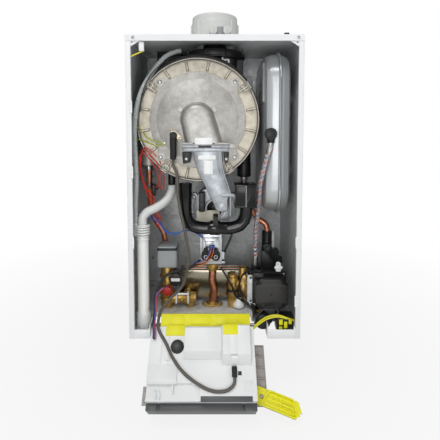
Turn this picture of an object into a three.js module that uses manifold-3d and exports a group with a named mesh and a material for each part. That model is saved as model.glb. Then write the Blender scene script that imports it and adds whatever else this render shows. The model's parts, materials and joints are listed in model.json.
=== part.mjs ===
// A wall-hung condensing combination boiler, seen in service: the front cover is off and the control
// box is swung down on its hinge. Millimetres, +Z up. The origin is the centre of the case's back
// face, the wall is at y = 0 and +X is to the right. Depths are given as q, behind the front plane.
import * as THREE from "three";
import { mergeVertices } from "three/addons/utils/BufferGeometryUtils.js";
import Module from "manifold-3d";

const wasm = await Module();
wasm.setup();

// ---- Driving dimensions ----
const gap = 0.3; // between pieces that touch

// case
const caseWidth = 400;
const caseHeight = 700;
const caseDepth = 290;
const sheet = 2;
const topFlange = 14.6;
const sideFlange = 12;
const railHeight = 22;
const leftRailWidth = 49;
const floorLift = 28; // of the hydraulic floor above the case's bottom edge
const floorFront = 75;

// flue
const flueX = 0;
const flueDepth = 145;
const collarRadius = 57.5;
const collarWall = 6;
const collarHeight = 74;
const collarFlare = 8;
const flueTubeRadius = 30;
const flueTubeWall = 2.5;
const adapterRadius = 76;
const adapterHeight = 14;
const testCapRadius = 10;

// heat exchanger
const exchangerLeftRoom = 8.5; // between its shell and the left side panel
const exchangerHeadroom = 40; // above its shell
const shellRadius = 148;
const shellWall = 6;
const shellFront = 64;
const shellBack = 200;
const ringInset = 4; // of the ring's rim inside the shell's
const doorInset = 34;
const doorThickness = 8;
const coilThickness = 56;
const burnerRadius = 34;
const burnerLength = 118;
const archReach = 32; // of the inlet elbow in front of the door

// fan and air intake
const fanOffset = 41.5; // of the fan's axis to the right of the exchanger's
const fanHeadroom = 18; // between the exchanger's shell and the fan
const fanRadius = 55;
const fanDepth = 50;
const fanFront = 90;
const impellerRadius = 42;
const intakeRadius = 15.5;
const intakeDepth = 45;
const intakeLeftReach = 70; // of the legs from the fan's axis
const intakeRightReach = 75;
const intakeBoxBack = 84;

// gas train
const gasOffset = 6; // of the gas line to the left of the fan's axis
const gasDepth = 120;
const gasValveWidth = 56;
const gasValveHeight = 79;
const gasValveDepth = 56;
const gasValveLift = 117; // above the hydraulic floor
const gasPipeRadius = 9.5;

// water side
const pipeRadius = 7.5;
const stubRadius = 10;
const stubLength = 26; // of the wall connections below the case
const plateWidth = 190;
const plateHeight = 73;
const plateDepth = 45;
const plateFront = 136;
const leftBlockInset = 75.3; // of the left block from the case's left side
const leftBlockRadius = 16.5;
const leftBlockHeight = 114;
const blockDepth = 115;
const rightBlockRadius = 13.6;
const rightBlockHeight = 78;
const diverterWidth = 50;
const diverterHeight = 55;
const knobRadius = 12.5;
const sensorRadius = 16.5;

// pump
const pumpInset = 62; // of the pump's axis from the case's right side
const plateClearance = 4; // between the plate exchanger and the pump
const pumpHeadWidth = 86;
const pumpHeadHeight = 90;
const pumpHeadDepth = 50;
const pumpFront = 45;
const voluteDepth = 66;
const rotorRadius = 28;

// expansion vessel
const vesselWidth = 64;
const vesselHeight = 400;
const vesselDepth = 226;
const vesselCorner = 62;
const vesselFront = 38;
const vesselTopGap = 21; // below the top panel's flange line
const vesselSideGap = 16; // between the vessel and the right side panel
const seamWidth = 5;

// siphon
const siphonInset = 26.5; // of the siphon from the case's left side
const siphonDepth = 45;
const siphonRadius = 14;
const siphonSumpRadius = 17;
const cupHeight = 7;

// control box, measured while it is closed
const openAngle = 136;
const hingeDepth = 32.5;
const hingeLift = 17; // of the hinge line above the case's bottom edge
const boxWidth = 237;
const boxSideRoom = 4; // between the box and the left rail
const leverRoom = 33; // between the box and the right rail, for the wing and lever
const boxHeight = 180;
const boxProud = 15; // of the fascia in front of the case
const boxBack = 65;
const fasciaThickness = 8;
const coverWall = 2.5;
const coverLift = 30; // of the rear cover above the box's hinge edge
const wingWidth = 29;
const hingePinRadius = 4;
const leverLength = 106;
const leverWidth = 36;
const leverThickness = 5.5;
const leverTilt = 20;
const dialRadius = 18;
const dialShaftRadius = 3;
const buttonRadius = 6;

// ---- Derived places ----
const halfWidth = caseWidth / 2;
const halfHeight = caseHeight / 2;
const bottom = -halfHeight;
const floorTop = bottom + floorLift;
const leftRailEnd = -halfWidth + leftRailWidth;
const boxLeft = leftRailEnd + boxSideRoom;
const boxRight = boxLeft + boxWidth;
const rightRailEnd = boxRight + leverRoom;
const vesselRight = halfWidth - sheet - vesselSideGap;
const vesselLeft = vesselRight - vesselWidth;
const vesselTop = halfHeight - vesselTopGap;
const vesselLow = vesselTop - vesselHeight;
const exchangerX = -halfWidth + sheet + exchangerLeftRoom + shellRadius;
const ringRadius = shellRadius - ringInset;
const doorRadius = shellRadius - doorInset;
const coilInner = shellRadius - coilThickness;
const fanX = exchangerX + fanOffset;
const intakeLeftX = fanX - intakeLeftReach;
const intakeRightX = fanX + intakeRightReach;
const gasX = fanX - gasOffset;
const leftBlockX = -halfWidth + leftBlockInset;
const sensorX = leftBlockX + 25.7;
const siphonX = -halfWidth + siphonInset;
const pumpX = halfWidth - pumpInset;
const rightBlockX = pumpX - 91;
const voluteLeft = pumpX - 39;
const plateX = voluteLeft - plateClearance - plateWidth / 2;
const exchangerZ = halfHeight - exchangerHeadroom - shellRadius;
const fanZ = exchangerZ - shellRadius - fanHeadroom - fanRadius;
const hingeZ = bottom + hingeLift;
const boxBottom = bottom;
const boxTop = bottom + boxHeight;
const coverBottom = boxBottom + coverLift;
const fasciaBack = fasciaThickness - boxProud;
const doorBack = shellFront - 10;
const doorFront = doorBack - doorThickness;
const radians = THREE.MathUtils.degToRad;

// y of a point that lies q behind the case's front plane, and a point in space
const at = (q) => q - caseDepth;
const p = (x, q, z) => new THREE.Vector3(x, at(q), z);
const above = (d) => floorTop + d;

// ---- Solids ----
function solid(geometry) {
  const bare = geometry.clone();
  bare.deleteAttribute("normal");
  bare.deleteAttribute("uv");
  const merged = mergeVertices(bare, 1e-3);
  const index = merged.index.array;
  const triangles = [];
  for (let i = 0; i < index.length; i += 3) {
    const [a, b, c] = [index[i], index[i + 1], index[i + 2]];
    if (a !== b && b !== c && c !== a) triangles.push(a, b, c);
  }
  const build = (list) =>
    new wasm.Manifold(
      new wasm.Mesh({
        numProp: 3,
        vertProperties: new Float32Array(merged.attributes.position.array),
        triVerts: new Uint32Array(list),
      }),
    );
  const made = build(triangles);
  return made.volume() < 0 ? build(triangles.reverse()) : made;
}

function geometryOf(body) {
  const mesh = body.getMesh();
  const positions = new Float32Array(mesh.numVert * 3);
  for (let i = 0; i < mesh.numVert; i++) {
    const start = i * mesh.numProp;
    positions.set(mesh.vertProperties.subarray(start, start + 3), i * 3);
  }
  const geometry = new THREE.BufferGeometry();
  geometry.setAttribute("position", new THREE.BufferAttribute(positions, 3));
  geometry.setIndex(new THREE.BufferAttribute(new Uint32Array(mesh.triVerts), 1));
  geometry.computeVertexNormals();
  return geometry;
}

// a box between two x, two depths and two heights
function box(x0, x1, q0, q1, z0, z1) {
  const size = [Math.abs(x1 - x0), Math.abs(q1 - q0), Math.abs(z1 - z0)];
  const geometry = new THREE.BoxGeometry(...size);
  geometry.translate((x0 + x1) / 2, at((q0 + q1) / 2), (z0 + z1) / 2);
  return solid(geometry);
}

// the number of facets that a round piece needs at its radius
const facets = (radius) => 2 * Math.round(1.35 * Math.sqrt(radius)) + 2;

// the corner radius of a faceted hole in which a round pin of this radius can turn
const turningFit = (radius) => (radius + gap) / Math.cos(Math.PI / facets(radius));

// a round bar from one point to another, which tapers where it has a second radius
function rod(from, to, radius, sides = facets(radius), endRadius = radius) {
  const along = to.clone().sub(from);
  const geometry = new THREE.CylinderGeometry(endRadius, radius, along.length(), sides);
  const turn = new THREE.Quaternion();
  turn.setFromUnitVectors(new THREE.Vector3(0, 1, 0), along.clone().normalize());
  geometry.applyQuaternion(turn);
  const middle = from.clone().add(to).multiplyScalar(0.5);
  geometry.translate(middle.x, middle.y, middle.z);
  return solid(geometry);
}

// a round bar along Y, along X or along Z
const rodY = (x, z, q0, q1, radius, sides) => rod(p(x, q0, z), p(x, q1, z), radius, sides);
const rodX = (q, z, x0, x1, radius, sides) => rod(p(x0, q, z), p(x1, q, z), radius, sides);
const rodZ = (x, q, z0, z1, radius, sides) => rod(p(x, q, z0), p(x, q, z1), radius, sides);

// an outline in x and z, made thick from one depth to another, with its edges rounded by bevel
function slab(outline, q0, q1, bevel = 0) {
  const shape = new THREE.Shape(outline.map(([x, z]) => new THREE.Vector2(x, z)));
  return slabOf(shape, q0, q1, bevel);
}

function slabOf(shape, q0, q1, bevel = 0, curveSegments = 5) {
  const geometry = new THREE.ExtrudeGeometry(shape, {
    depth: q1 - q0 - 2 * bevel,
    bevelEnabled: bevel > 0,
    bevelSize: bevel,
    bevelThickness: bevel,
    bevelOffset: -bevel,
    bevelSegments: 1,
    curveSegments,
  });
  geometry.rotateX(Math.PI / 2); // the outline's second axis becomes Z, its depth runs to -Y
  geometry.translate(0, at(q1 - bevel), 0);
  return solid(geometry);
}

// a rectangle with round corners, about its own centre
function roundedRectangle(width, height, radius, x = 0, z = 0) {
  const shape = new THREE.Shape();
  const [left, right] = [x - width / 2, x + width / 2];
  const [low, high] = [z - height / 2, z + height / 2];
  shape.moveTo(left + radius, low);
  shape.lineTo(right - radius, low);
  shape.absarc(right - radius, low + radius, radius, -Math.PI / 2, 0, false);
  shape.lineTo(right, high - radius);
  shape.absarc(right - radius, high - radius, radius, 0, Math.PI / 2, false);
  shape.lineTo(left + radius, high);
  shape.absarc(left + radius, high - radius, radius, Math.PI / 2, Math.PI, false);
  shape.lineTo(left, low + radius);
  shape.absarc(left + radius, low + radius, radius, Math.PI, 1.5 * Math.PI, false);
  return shape;
}

// a profile of radius and height, turned about a vertical axis
function turned(x, q, profile, sides) {
  const points = profile.map(([r, z]) => new THREE.Vector2(r, z));
  const geometry = new THREE.LatheGeometry([...points, points[0]], sides);
  geometry.rotateX(Math.PI / 2); // its axis becomes Z
  geometry.translate(x, at(q), 0);
  return solid(geometry);
}

function circle(radius, sides) {
  const points = [];
  for (let i = 0; i < sides; i++) {
    const angle = (2 * Math.PI * i) / sides;
    points.push(new THREE.Vector2(radius * Math.cos(angle), radius * Math.sin(angle)));
  }
  return new THREE.Shape(points);
}

// a round cord, hose or pipe along a smooth curve through the points
function tube(points, radius, sides, steps) {
  const extrudePath = new THREE.CatmullRomCurve3(points, false, "centripetal");
  const options = { steps, extrudePath, bevelEnabled: false };
  return solid(new THREE.ExtrudeGeometry(circle(radius, sides), options));
}

// a hose with its bore and ribs: two rings to a rib outside, and one inside, so the wall stays whole
function ribbedHose(points, radius, boreRadius, ribs, sides = 8) {
  const curve = new THREE.CatmullRomCurve3(points, false, "centripetal");
  const rings = ribs * 2;
  const frames = curve.computeFrenetFrames(rings, false);
  const positions = [];
  const ringOf = (i, r) => {
    const centre = curve.getPointAt(i / rings);
    const first = positions.length / 3;
    for (let k = 0; k < sides; k++) {
      const angle = (2 * Math.PI * k) / sides;
      const offset = frames.normals[i].clone().multiplyScalar(r * Math.cos(angle));
      offset.addScaledVector(frames.binormals[i], r * Math.sin(angle));
      offset.add(centre);
      positions.push(offset.x, offset.y, offset.z);
    }
    return first;
  };
  const outer = [];
  for (let i = 0; i <= rings; i++) outer.push(ringOf(i, i % 2 ? radius : radius * 0.86));
  const inner = [];
  for (let i = 0; i <= rings; i += 2) inner.push(ringOf(i, boreRadius));
  const triangles = [];
  const join = (a, b, flip) => {
    for (let k = 0; k < sides; k++) {
      const [k1, k2] = flip ? [(k + 1) % sides, k] : [k, (k + 1) % sides];
      triangles.push(a + k1, a + k2, b + k2, a + k1, b + k2, b + k1);
    }
  };
  for (let i = 1; i < outer.length; i++) join(outer[i - 1], outer[i], false);
  for (let i = 1; i < inner.length; i++) join(inner[i - 1], inner[i], true);
  join(inner[0], outer[0], false);
  join(outer.at(-1), inner.at(-1), false);
  const geometry = new THREE.BufferGeometry();
  geometry.setAttribute("position", new THREE.BufferAttribute(new Float32Array(positions), 3));
  geometry.setIndex(triangles);
  return solid(geometry);
}

const joined = (...bodies) => bodies.reduce((whole, body) => whole.add(body));
const cut = (body, ...tools) => tools.reduce((left, tool) => left.subtract(tool), body);

// ---- Finishes ----
const finish = (color, roughness, metalness) =>
  new THREE.MeshStandardMaterial({ color, roughness, metalness });
const whitePaint = finish("#e8e9ea", 0.4, 0.1);
const galvanised = finish("#a7aaab", 0.45, 0.7);
const castAluminium = finish("#9c9b96", 0.5, 0.6);
const blackPlastic = finish("#17181a", 0.45, 0);
const greyPlastic = finish("#8e9192", 0.5, 0);
const whitePlastic = finish("#e4e6e7", 0.4, 0);
const paleGreyPlastic = finish("#b9bcbd", 0.5, 0);
const yellowPlastic = finish("#d9dc1c", 0.45, 0);
const redPlastic = finish("#b3201c", 0.4, 0);
const brass = finish("#b08a4a", 0.35, 0.9);
const copper = finish("#c07a56", 0.3, 0.95);
const stainless = finish("#b8b6b0", 0.3, 0.9);
const vesselPaint = finish("#a9acae", 0.4, 0.4);
const braid = finish("#8d8f8e", 0.5, 0.5);
const clearHose = finish("#c3cbc6", 0.35, 0);
const greyRubber = finish("#4c4e50", 0.6, 0);
const boardGreen = finish("#2f5a3c", 0.6, 0);

const boiler = new THREE.Group();
const controlBox = new THREE.Group(); // turns about the hinge line
const closedBox = new THREE.Group(); // holds the box's pieces in the case's own coordinates
controlBox.position.set(0, at(hingeDepth), hingeZ);
controlBox.rotation.x = radians(openAngle);
closedBox.position.set(0, -at(hingeDepth), -hingeZ);
controlBox.add(closedBox);
boiler.add(controlBox);

function add(name, body, material, parent = boiler) {
  const mesh = new THREE.Mesh(geometryOf(body), material);
  mesh.name = name;
  parent.add(mesh);
  return mesh;
}

// ---- Case ----
function sidePanel(side) {
  const outer = side * halfWidth;
  const inner = outer - side * sheet;
  const railEnd = side < 0 ? leftRailEnd : rightRailEnd;
  const panelBack = caseDepth - sheet - gap;
  const panelTop = halfHeight - sheet - gap;
  const plate = box(outer, inner, 0, panelBack, bottom, panelTop);
  const flangeTop = halfHeight - topFlange - gap;
  const flange = box(outer, outer - side * sideFlange, 0, sheet, bottom, panelTop);
  const rail = box(outer, railEnd, 0, sheet, bottom, bottom + railHeight);
  const earBack = hingeDepth + 3 * hingePinRadius;
  const ear = box(railEnd, railEnd + side * sheet, 0, earBack, bottom + sheet, bottom + 1.5 * railHeight);
  const hole = rodX(hingeDepth, hingeZ, railEnd - 5, railEnd + 5, turningFit(hingePinRadius));
  const cornerEnd = outer - side * (sideFlange + 1);
  const topCorner = box(outer + side, cornerEnd, -1, sheet + gap, flangeTop, halfHeight);
  return cut(joined(plate, flange, rail, ear), hole, topCorner);
}

function backPanel() {
  const plate = box(-halfWidth, halfWidth, caseDepth - sheet, caseDepth, bottom, halfHeight - sheet - gap);
  const ribDepth = 1.5;
  const ribFront = caseDepth - sheet - ribDepth;
  const embossing = (x0, x1, z0, z1) =>
    cut(
      box(x0, x1, ribFront, caseDepth - sheet / 2, z0, z1),
      box(x0 + 6, x1 - 6, ribFront - 1, caseDepth - sheet - 0.01, z0 + 6, z1 - 6),
    );
  const high = above(190);
  const low = above(120);
  return joined(
    plate,
    embossing(-halfWidth + 25, -halfWidth + 105, low, high),
    embossing(-halfWidth + 125, halfWidth - 125, low, high),
    embossing(halfWidth - 105, halfWidth - 25, low, high),
  );
}

function topPanel() {
  const low = halfHeight - topFlange;
  const plate = box(-halfWidth, halfWidth, 0, caseDepth, halfHeight - sheet, halfHeight);
  const flange = box(-halfWidth, halfWidth, 0, sheet, low, halfHeight);
  const gussetOuter = halfWidth - sheet - gap;
  const gusset = (side) =>
    slab(
      [
        [side * (gussetOuter - 34), low + 3],
        [side * gussetOuter, low + 3],
        [side * gussetOuter, low - 13],
        [side * (gussetOuter - 8), low - 13],
      ],
      sheet + gap,
      2 * sheet + gap,
    );
  const bridge = (side) => {
    const [inner, outer] = [side * (gussetOuter - 34), side * (gussetOuter - sideFlange)];
    return box(inner, outer, sheet / 2, 2 * sheet, low + 0.5, low + 3);
  };
  const flueHole = rodZ(flueX, flueDepth, low, halfHeight + 1, collarRadius - collarWall);
  return cut(
    joined(plate, flange, gusset(-1), gusset(1), bridge(-1), bridge(1)),
    flueHole,
  );
}

const siphonSeat = bottom + cupHeight + 2;

function hydraulicFloor() {
  const wall = halfWidth - sheet - gap;
  const back = caseDepth - sheet - gap;
  const trayLeft = voluteLeft - plateClearance;
  const trayTop = bottom + 6;
  const deck = box(-wall, trayLeft, floorFront, back, floorTop - sheet, floorTop);
  const step = box(trayLeft - sheet, trayLeft, floorFront, back, trayTop - sheet, floorTop);
  const tray = box(trayLeft - sheet, wall, floorFront, back, trayTop - sheet, trayTop);
  const lip = box(-wall, trayLeft, floorFront, floorFront + sheet, floorTop - 11, floorTop);
  const shelfRight = leftRailEnd - sheet - gap;
  const shelfTop = siphonSeat;
  const shelf = box(-wall, shelfRight, sheet + 12, floorFront + sheet, shelfTop - sheet, shelfTop);
  const shelfRiser = box(-wall, shelfRight, floorFront, floorFront + sheet, shelfTop - sheet, floorTop);
  const spigotHole = rodZ(siphonX, siphonDepth, shelfTop - 9, shelfTop + 9, 11.5 + gap);
  const stubHole = (x, q, radius) => rodZ(x, q, bottom - 5, floorTop + 5, radius + gap);
  return cut(
    joined(deck, step, tray, lip, shelf, shelfRiser),
    spigotHole,
    stubHole(gasX, gasDepth, gasPipeRadius),
    stubHole(leftBlockX, blockDepth, stubRadius),
    stubHole(leftBlockX + 62, blockDepth, stubRadius),
    stubHole(rightBlockX, blockDepth, stubRadius),
    stubHole(pumpX - 20, pumpFront + pumpHeadDepth + 33, stubRadius),
  );
}

add("back_panel", backPanel(), whitePaint);
add("left_side_panel", sidePanel(-1), whitePaint);
add("right_side_panel", sidePanel(1), whitePaint);
add("top_panel", topPanel(), whitePaint);
add("hydraulic_floor", hydraulicFloor(), galvanised);

// ---- Flue ----
function flueCollar() {
  const foot = halfHeight + gap;
  const top = halfHeight + collarHeight;
  const bore = collarRadius - collarWall;
  const tubeBody = turned(
    flueX,
    flueDepth,
    [
      [bore, foot],
      [collarRadius + collarFlare + 1, foot],
      [collarRadius + collarFlare, foot + 5],
      [collarRadius + 2, foot + 9],
      [collarRadius + 1, top - 17],
      [collarRadius, top - 15],
      [collarRadius, top],
      [bore, top],
    ],
    facets(collarRadius),
  );
  const rib = (x) => {
    const reach = Math.sqrt((collarRadius + 1) ** 2 - (x - flueX) ** 2);
    const front = flueDepth - reach - 2;
    return box(x - 1.5, x + 1.5, front, front + 8, foot, top - 15);
  };
  const port = (x) => rodY(x, testPortZ, testPortFront, flueDepth - 40, 8.5);
  const portBore = (x) => rodY(x, testPortZ, testPortFront - 1, testPortFront + 12, 5.3);
  const open = rodZ(flueX, flueDepth, foot - 1, top + 1, bore);
  const whole = joined(tubeBody, rib(-40), rib(42), port(testPortLeft), port(testPortRight));
  return cut(whole, portBore(testPortLeft), portBore(testPortRight), open);
}

const testPortZ = halfHeight + 28;
const testPortLeft = flueX - 4;
const testPortRight = flueX + 30;
const testPortFront = flueDepth - collarRadius - 7;

function testCap(x) {
  const face = testPortFront - gap;
  const rim = rodY(x, testPortZ, face - 5, face, testCapRadius);
  const grip = box(x - 2, x + 2, face - 9, face - 4, testPortZ - 7, testPortZ + 7);
  const plug = rodY(x, testPortZ, face - 1, face + 9, 5);
  return joined(rim, grip, plug);
}

// the black duct that carries the flue gas up behind the exchanger, with the socket and tube for the flue
function flueManifold() {
  const top = exchangerZ + shellRadius + 8;
  const adapterTop = halfHeight - topFlange - sheet / 2;
  const socketTop = Math.min(adapterTop, top + adapterHeight + 2);
  const left = exchangerX - 106;
  const right = exchangerX + 114;
  const mass = box(left, right, flueDepth - 20, caseDepth - sheet - 4, exchangerZ - 38, top);
  const shoulder = box(left, left + 62, flueDepth - 10, caseDepth - sheet - 4, exchangerZ + 60, top + 20);
  const room = rodY(exchangerX, exchangerZ, 0, shellBack + gap, shellRadius + gap);
  const socket = rodZ(flueX, flueDepth, top - 2, socketTop, adapterRadius);
  const tubeTop = halfHeight + collarHeight - 6;
  const pipe = rodZ(flueX, flueDepth, top - 2, tubeTop, flueTubeRadius);
  const bore = rodZ(flueX, flueDepth, top - 5, tubeTop + 1, flueTubeRadius - flueTubeWall);
  return cut(joined(mass, shoulder, socket, pipe), room, bore);
}

add("flue_collar", flueCollar(), paleGreyPlastic);
add("test_cap_left", testCap(testPortLeft), paleGreyPlastic);
add("test_cap_right", testCap(testPortRight), paleGreyPlastic);
add("flue_manifold", flueManifold(), blackPlastic);

// ---- Heat exchanger ----
const flowPortX = exchangerX - shellRadius + 23.5;
const flowPortDepth = 100;
const returnPortX = exchangerX + shellRadius - 29;
const returnPortDepth = 150;
const drainPortX = exchangerX - 66;
const drainPortDepth = 88;

function exchangerShell() {
  const axis = (q0, q1, radius) => rodY(exchangerX, exchangerZ, q0, q1, radius);
  const flowPort = rodZ(flowPortX, flowPortDepth, exchangerZ - 112, exchangerZ - 46, 17);
  const returnPort = rodZ(returnPortX, returnPortDepth, exchangerZ - 146, exchangerZ - 42, 18);
  const drainPort = rodZ(drainPortX, drainPortDepth, exchangerZ - 160, exchangerZ - 120, 9);
  const body = joined(axis(shellFront, shellBack, shellRadius), flowPort, returnPort, drainPort);
  const hollow = axis(shellFront - 1, shellBack - shellWall, shellRadius - shellWall);
  const outlet = rodY(exchangerX, exchangerZ + 80, shellBack - shellWall - 1, shellBack + 1, 34);
  return cut(body, hollow, outlet);
}

function exchangerRing() {
  const ringBack = shellFront - gap;
  const ringFront = doorBack + gap;
  const opening = doorRadius - 14;
  let ring = rodY(exchangerX, exchangerZ, ringFront, ringBack, ringRadius);
  const ribs = 16;
  for (let i = 0; i < ribs; i++) {
    const angle = (2 * Math.PI * (i + 0.5)) / ribs;
    const from = doorRadius + 4;
    const to = ringRadius - 2;
    const rib = new THREE.BoxGeometry(to - from, 3, 3);
    rib.translate((from + to) / 2, 0, 0);
    rib.rotateY(-angle);
    rib.translate(exchangerX, at(ringFront), exchangerZ);
    ring = ring.add(solid(rib));
  }
  return cut(ring, rodY(exchangerX, exchangerZ, ringFront - 3, ringBack + 1, opening));
}

function exchangerCoil() {
  const front = shellFront + 8;
  const back = shellBack - shellWall - 8;
  const outer = shellRadius - shellWall - 0.4;
  const drum = rodY(exchangerX, exchangerZ, front, back, outer);
  return cut(drum, rodY(exchangerX, exchangerZ, front - 1, back + 1, coilInner));
}

function burnerTube() {
  const front = doorBack + gap;
  const tubeBody = rodY(exchangerX, exchangerZ, front, front + burnerLength, burnerRadius);
  const collar = rodY(exchangerX, exchangerZ, front, front + 3, burnerRadius + 8);
  const inside = rodY(exchangerX, exchangerZ, front - 1, front + burnerLength - 3, burnerRadius - 3);
  return cut(joined(tubeBody, collar), inside);
}

const archFront = doorFront - archReach;
const archFoot = exchangerZ - 58;
const archTopX = exchangerX;
const archTopZ = exchangerZ + 1;
const archRadius = 36;
const archFootLeft = exchangerX - 24;
const archFootRight = exchangerX + 56;

function archShape(inset) {
  const radius = archRadius - inset;
  const shape = new THREE.Shape();
  const start = radians(20);
  const end = radians(200);
  shape.moveTo(archFootRight - inset, archFoot);
  shape.lineTo(archTopX + radius * Math.cos(start), archTopZ + radius * Math.sin(start));
  shape.absarc(archTopX, archTopZ, radius, start, end, false);
  shape.lineTo(archFootLeft + inset, archFoot);
  return shape;
}

const earReach = (doorRadius + 11.16) * Math.SQRT1_2;
const electrodeX = exchangerX - 55.5;
const electrodeZ = exchangerZ - 37;

function burnerDoor() {
  const plate = rodY(exchangerX, exchangerZ, doorFront, doorBack, doorRadius);
  let door = plate;
  for (const [sx, sz] of [[-1, 1], [1, 1], [-1, -1], [1, -1]]) {
    const x = exchangerX + sx * earReach;
    const z = exchangerZ + sz * earReach;
    const ear = rodY(x, z, doorFront, doorBack - 2, 11);
    const arm = rod(
      p(exchangerX + sx * 60, (doorFront + doorBack) / 2, exchangerZ + sz * 60),
      p(x, (doorFront + doorBack) / 2, z),
      3.4,
      8,
    );
    door = joined(door, ear, arm);
    door = cut(door, rodY(x, z, doorFront - 1, doorBack + 1, 3));
  }
  const outside = slabOf(archShape(0), archFront, doorFront + 1, 6, 6);
  const inside = slabOf(archShape(6), archFront + 6, doorBack - 3, 0, 6);
  const inlet = rodY(exchangerX, exchangerZ, doorFront - 1, doorBack + 1, burnerRadius - 6);
  const boss = (x) => rodY(x, exchangerZ + 9, doorFront - 5, doorFront + 1, 7);
  const sill = box(archFootLeft - 12, archFootRight + 20, archFront, doorFront + 1, archFoot, archFoot + 5);
  const [passageLeft, passageRight] = [archFootLeft + 8, archFootRight - 8];
  const passage = box(passageLeft, passageRight, archFront + 6, doorFront - 3, archFoot - 1, archFoot + 9);
  const electrodeHole = rodY(electrodeX, electrodeZ, doorFront - 1, doorBack + 1, 5 + gap);
  const casting = joined(door, outside, boss(exchangerX - 40.5), boss(exchangerX + 40.5), sill);
  return cut(casting, inside, inlet, passage, electrodeHole);
}

add("heat_exchanger_shell", exchangerShell(), blackPlastic);
add("heat_exchanger_ring", exchangerRing(), castAluminium);
add("heat_exchanger_coil", exchangerCoil(), stainless);
add("burner", burnerTube(), stainless);
add("burner_door", burnerDoor(), castAluminium);

// ---- Ignition ----
const bootX = electrodeX - 1;
const bootDepth = 34;
const bootLow = exchangerZ - 93;

function electrode() {
  const face = doorFront - gap;
  const bracket = new THREE.BoxGeometry(36, 3, 12);
  bracket.rotateY(radians(40));
  bracket.translate(electrodeX + 5, at(face - 1.5), electrodeZ + 1);
  const rods = rodY(electrodeX, electrodeZ, face - 1, doorBack + 22, 4.6);
  const ceramic = rodY(electrodeX, electrodeZ, bootDepth - 5, face, 5);
  return joined(solid(bracket), rods, ceramic);
}

function electrodeBoot() {
  const sleeve = rodZ(bootX, bootDepth, bootLow, electrodeZ + 6, 8);
  const elbow = rodY(electrodeX, electrodeZ, bootDepth - 8, bootDepth + 6, 8.5);
  const socket = rodY(electrodeX, electrodeZ, bootDepth - 6, bootDepth + 20, 5 + gap);
  return cut(joined(sleeve, elbow), socket);
}

const leadRadius = 3.5;
const coverTop = boxBack;

// a point on the open control box, given where it lies while the box is closed
function onBox(x, q, z) {
  const point = p(x, q, z).sub(new THREE.Vector3(0, at(hingeDepth), hingeZ));
  point.applyAxisAngle(new THREE.Vector3(1, 0, 0), radians(openAngle));
  return point.add(new THREE.Vector3(0, at(hingeDepth), hingeZ));
}

const terminalX = boxRight - 47.4;
const terminalLow = -234;
const terminalHigh = -213.5;
const terminalRadius = 6;
const terminalDepth = coverTop + gap + terminalRadius;

// the grey high-tension lead: down in front of the boiler, over the hinge and across the box's back
const ignitionRoute = [
  p(bootX, bootDepth, bootLow - gap),
  p(bootX, bootDepth, bootLow - 14),
  p(-89.5, 33, 34.6),
  p(-87.5, 28, -7.5),
  p(-79.5, 23, -58.4),
  p(-70.3, 20, -97.2),
  p(-65.7, 22, -127),
  p(-61.5, 26, -149.5),
  p(-63.7, 34, -183),
  p(-68.7, 42, -207.4),
  p(-75.3, 50, -234.4),
  p(-87.9, 52, -254.6),
  p(-106.4, 50, -272),
  p(-122.1, 42, -287.7),
  p(-131, 26, -299.5),
  onBox(-131.5, 69.5, -317),
  onBox(-125, 69, -303),
  onBox(-110.8, 69, -282.2),
  onBox(-93.7, 69, -252.3),
  onBox(-71.6, 69, -225.8),
  onBox(-44.7, 69, -205.4),
  onBox(-18.8, 69, -191.8),
  onBox(3.8, 69, -186.3),
  onBox(26.2, 70, -188.5),
  onBox(39.5, 71, -197.5),
  onBox(terminalX, terminalDepth, -206),
  onBox(terminalX, terminalDepth, terminalHigh + gap),
];

add("ignition_electrode", electrode(), castAluminium);
add("electrode_boot", electrodeBoot(), blackPlastic);
add("ignition_lead", tube(ignitionRoute, leadRadius, 8, 44), greyRubber);

// ---- Fan, premix duct and air intake ----
const fanBack = fanFront + fanDepth;
const fanShaftRadius = 4;

function fanHousing() {
  const wall = 5;
  const drum = rodY(fanX, fanZ, fanFront, fanBack, fanRadius);
  const room = rodY(fanX, fanZ, fanFront + wall, fanBack - wall, fanRadius - wall - 3);
  const inletHole = rodY(fanX, fanZ, fanFront - 1, fanFront + wall + 1, 20);
  const shaftHole = rodY(fanX, fanZ, fanBack - wall - 1, fanBack + 1, fanShaftRadius + 1);
  const neckBack = fanFront + wall;
  const neck = box(ductFootLeft + 3, ductFootRight + 3, fanFront - 6, neckBack, fanZ + 20, fanZ + 46);
  const [holeLeft, holeRight] = [ductFootLeft + 8, ductFootRight - 2];
  const outletHole = box(holeLeft, holeRight, fanFront - 7, neckBack + 1, fanZ + 25, fanZ + 41);
  const lug = (angle, front = fanFront + 12) => {
    const x = fanX + (fanRadius + 5) * Math.cos(radians(angle));
    const z = fanZ + (fanRadius + 5) * Math.sin(radians(angle));
    return rodY(x, z, front, fanFront + 30, 8);
  };
  const body = joined(drum, neck, lug(150), lug(30, intakeBoxBack + gap), lug(205));
  return cut(body, room, inletHole, shaftHole, outletHole);
}

function fanImpeller() {
  const front = fanFront + 9;
  const back = fanBack - 12;
  const disc = rodY(fanX, fanZ, back - 3, back, impellerRadius);
  const hub = rodY(fanX, fanZ, front, back, 10);
  const shaft = rodY(fanX, fanZ, back - 1, fanBack + 22, fanShaftRadius);
  const blades = [];
  const count = 11;
  for (let i = 0; i < count; i++) {
    const blade = new THREE.BoxGeometry(impellerRadius - 16, back - front - 2, 1.6);
    blade.rotateY(radians(28));
    blade.translate((impellerRadius + 12) / 2, 0, 0);
    blade.rotateY((2 * Math.PI * i) / count);
    blade.translate(fanX, at((front + back) / 2), fanZ);
    blades.push(solid(blade));
  }
  return joined(disc, hub, shaft, ...blades);
}

function fanMotor() {
  const front = fanBack + gap;
  const body = rodY(fanX, fanZ, front, front + 34, 31);
  const boreHole = rodY(fanX, fanZ, front - 1, front + 24, fanShaftRadius + 1);
  return cut(body, boreHole);
}

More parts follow.
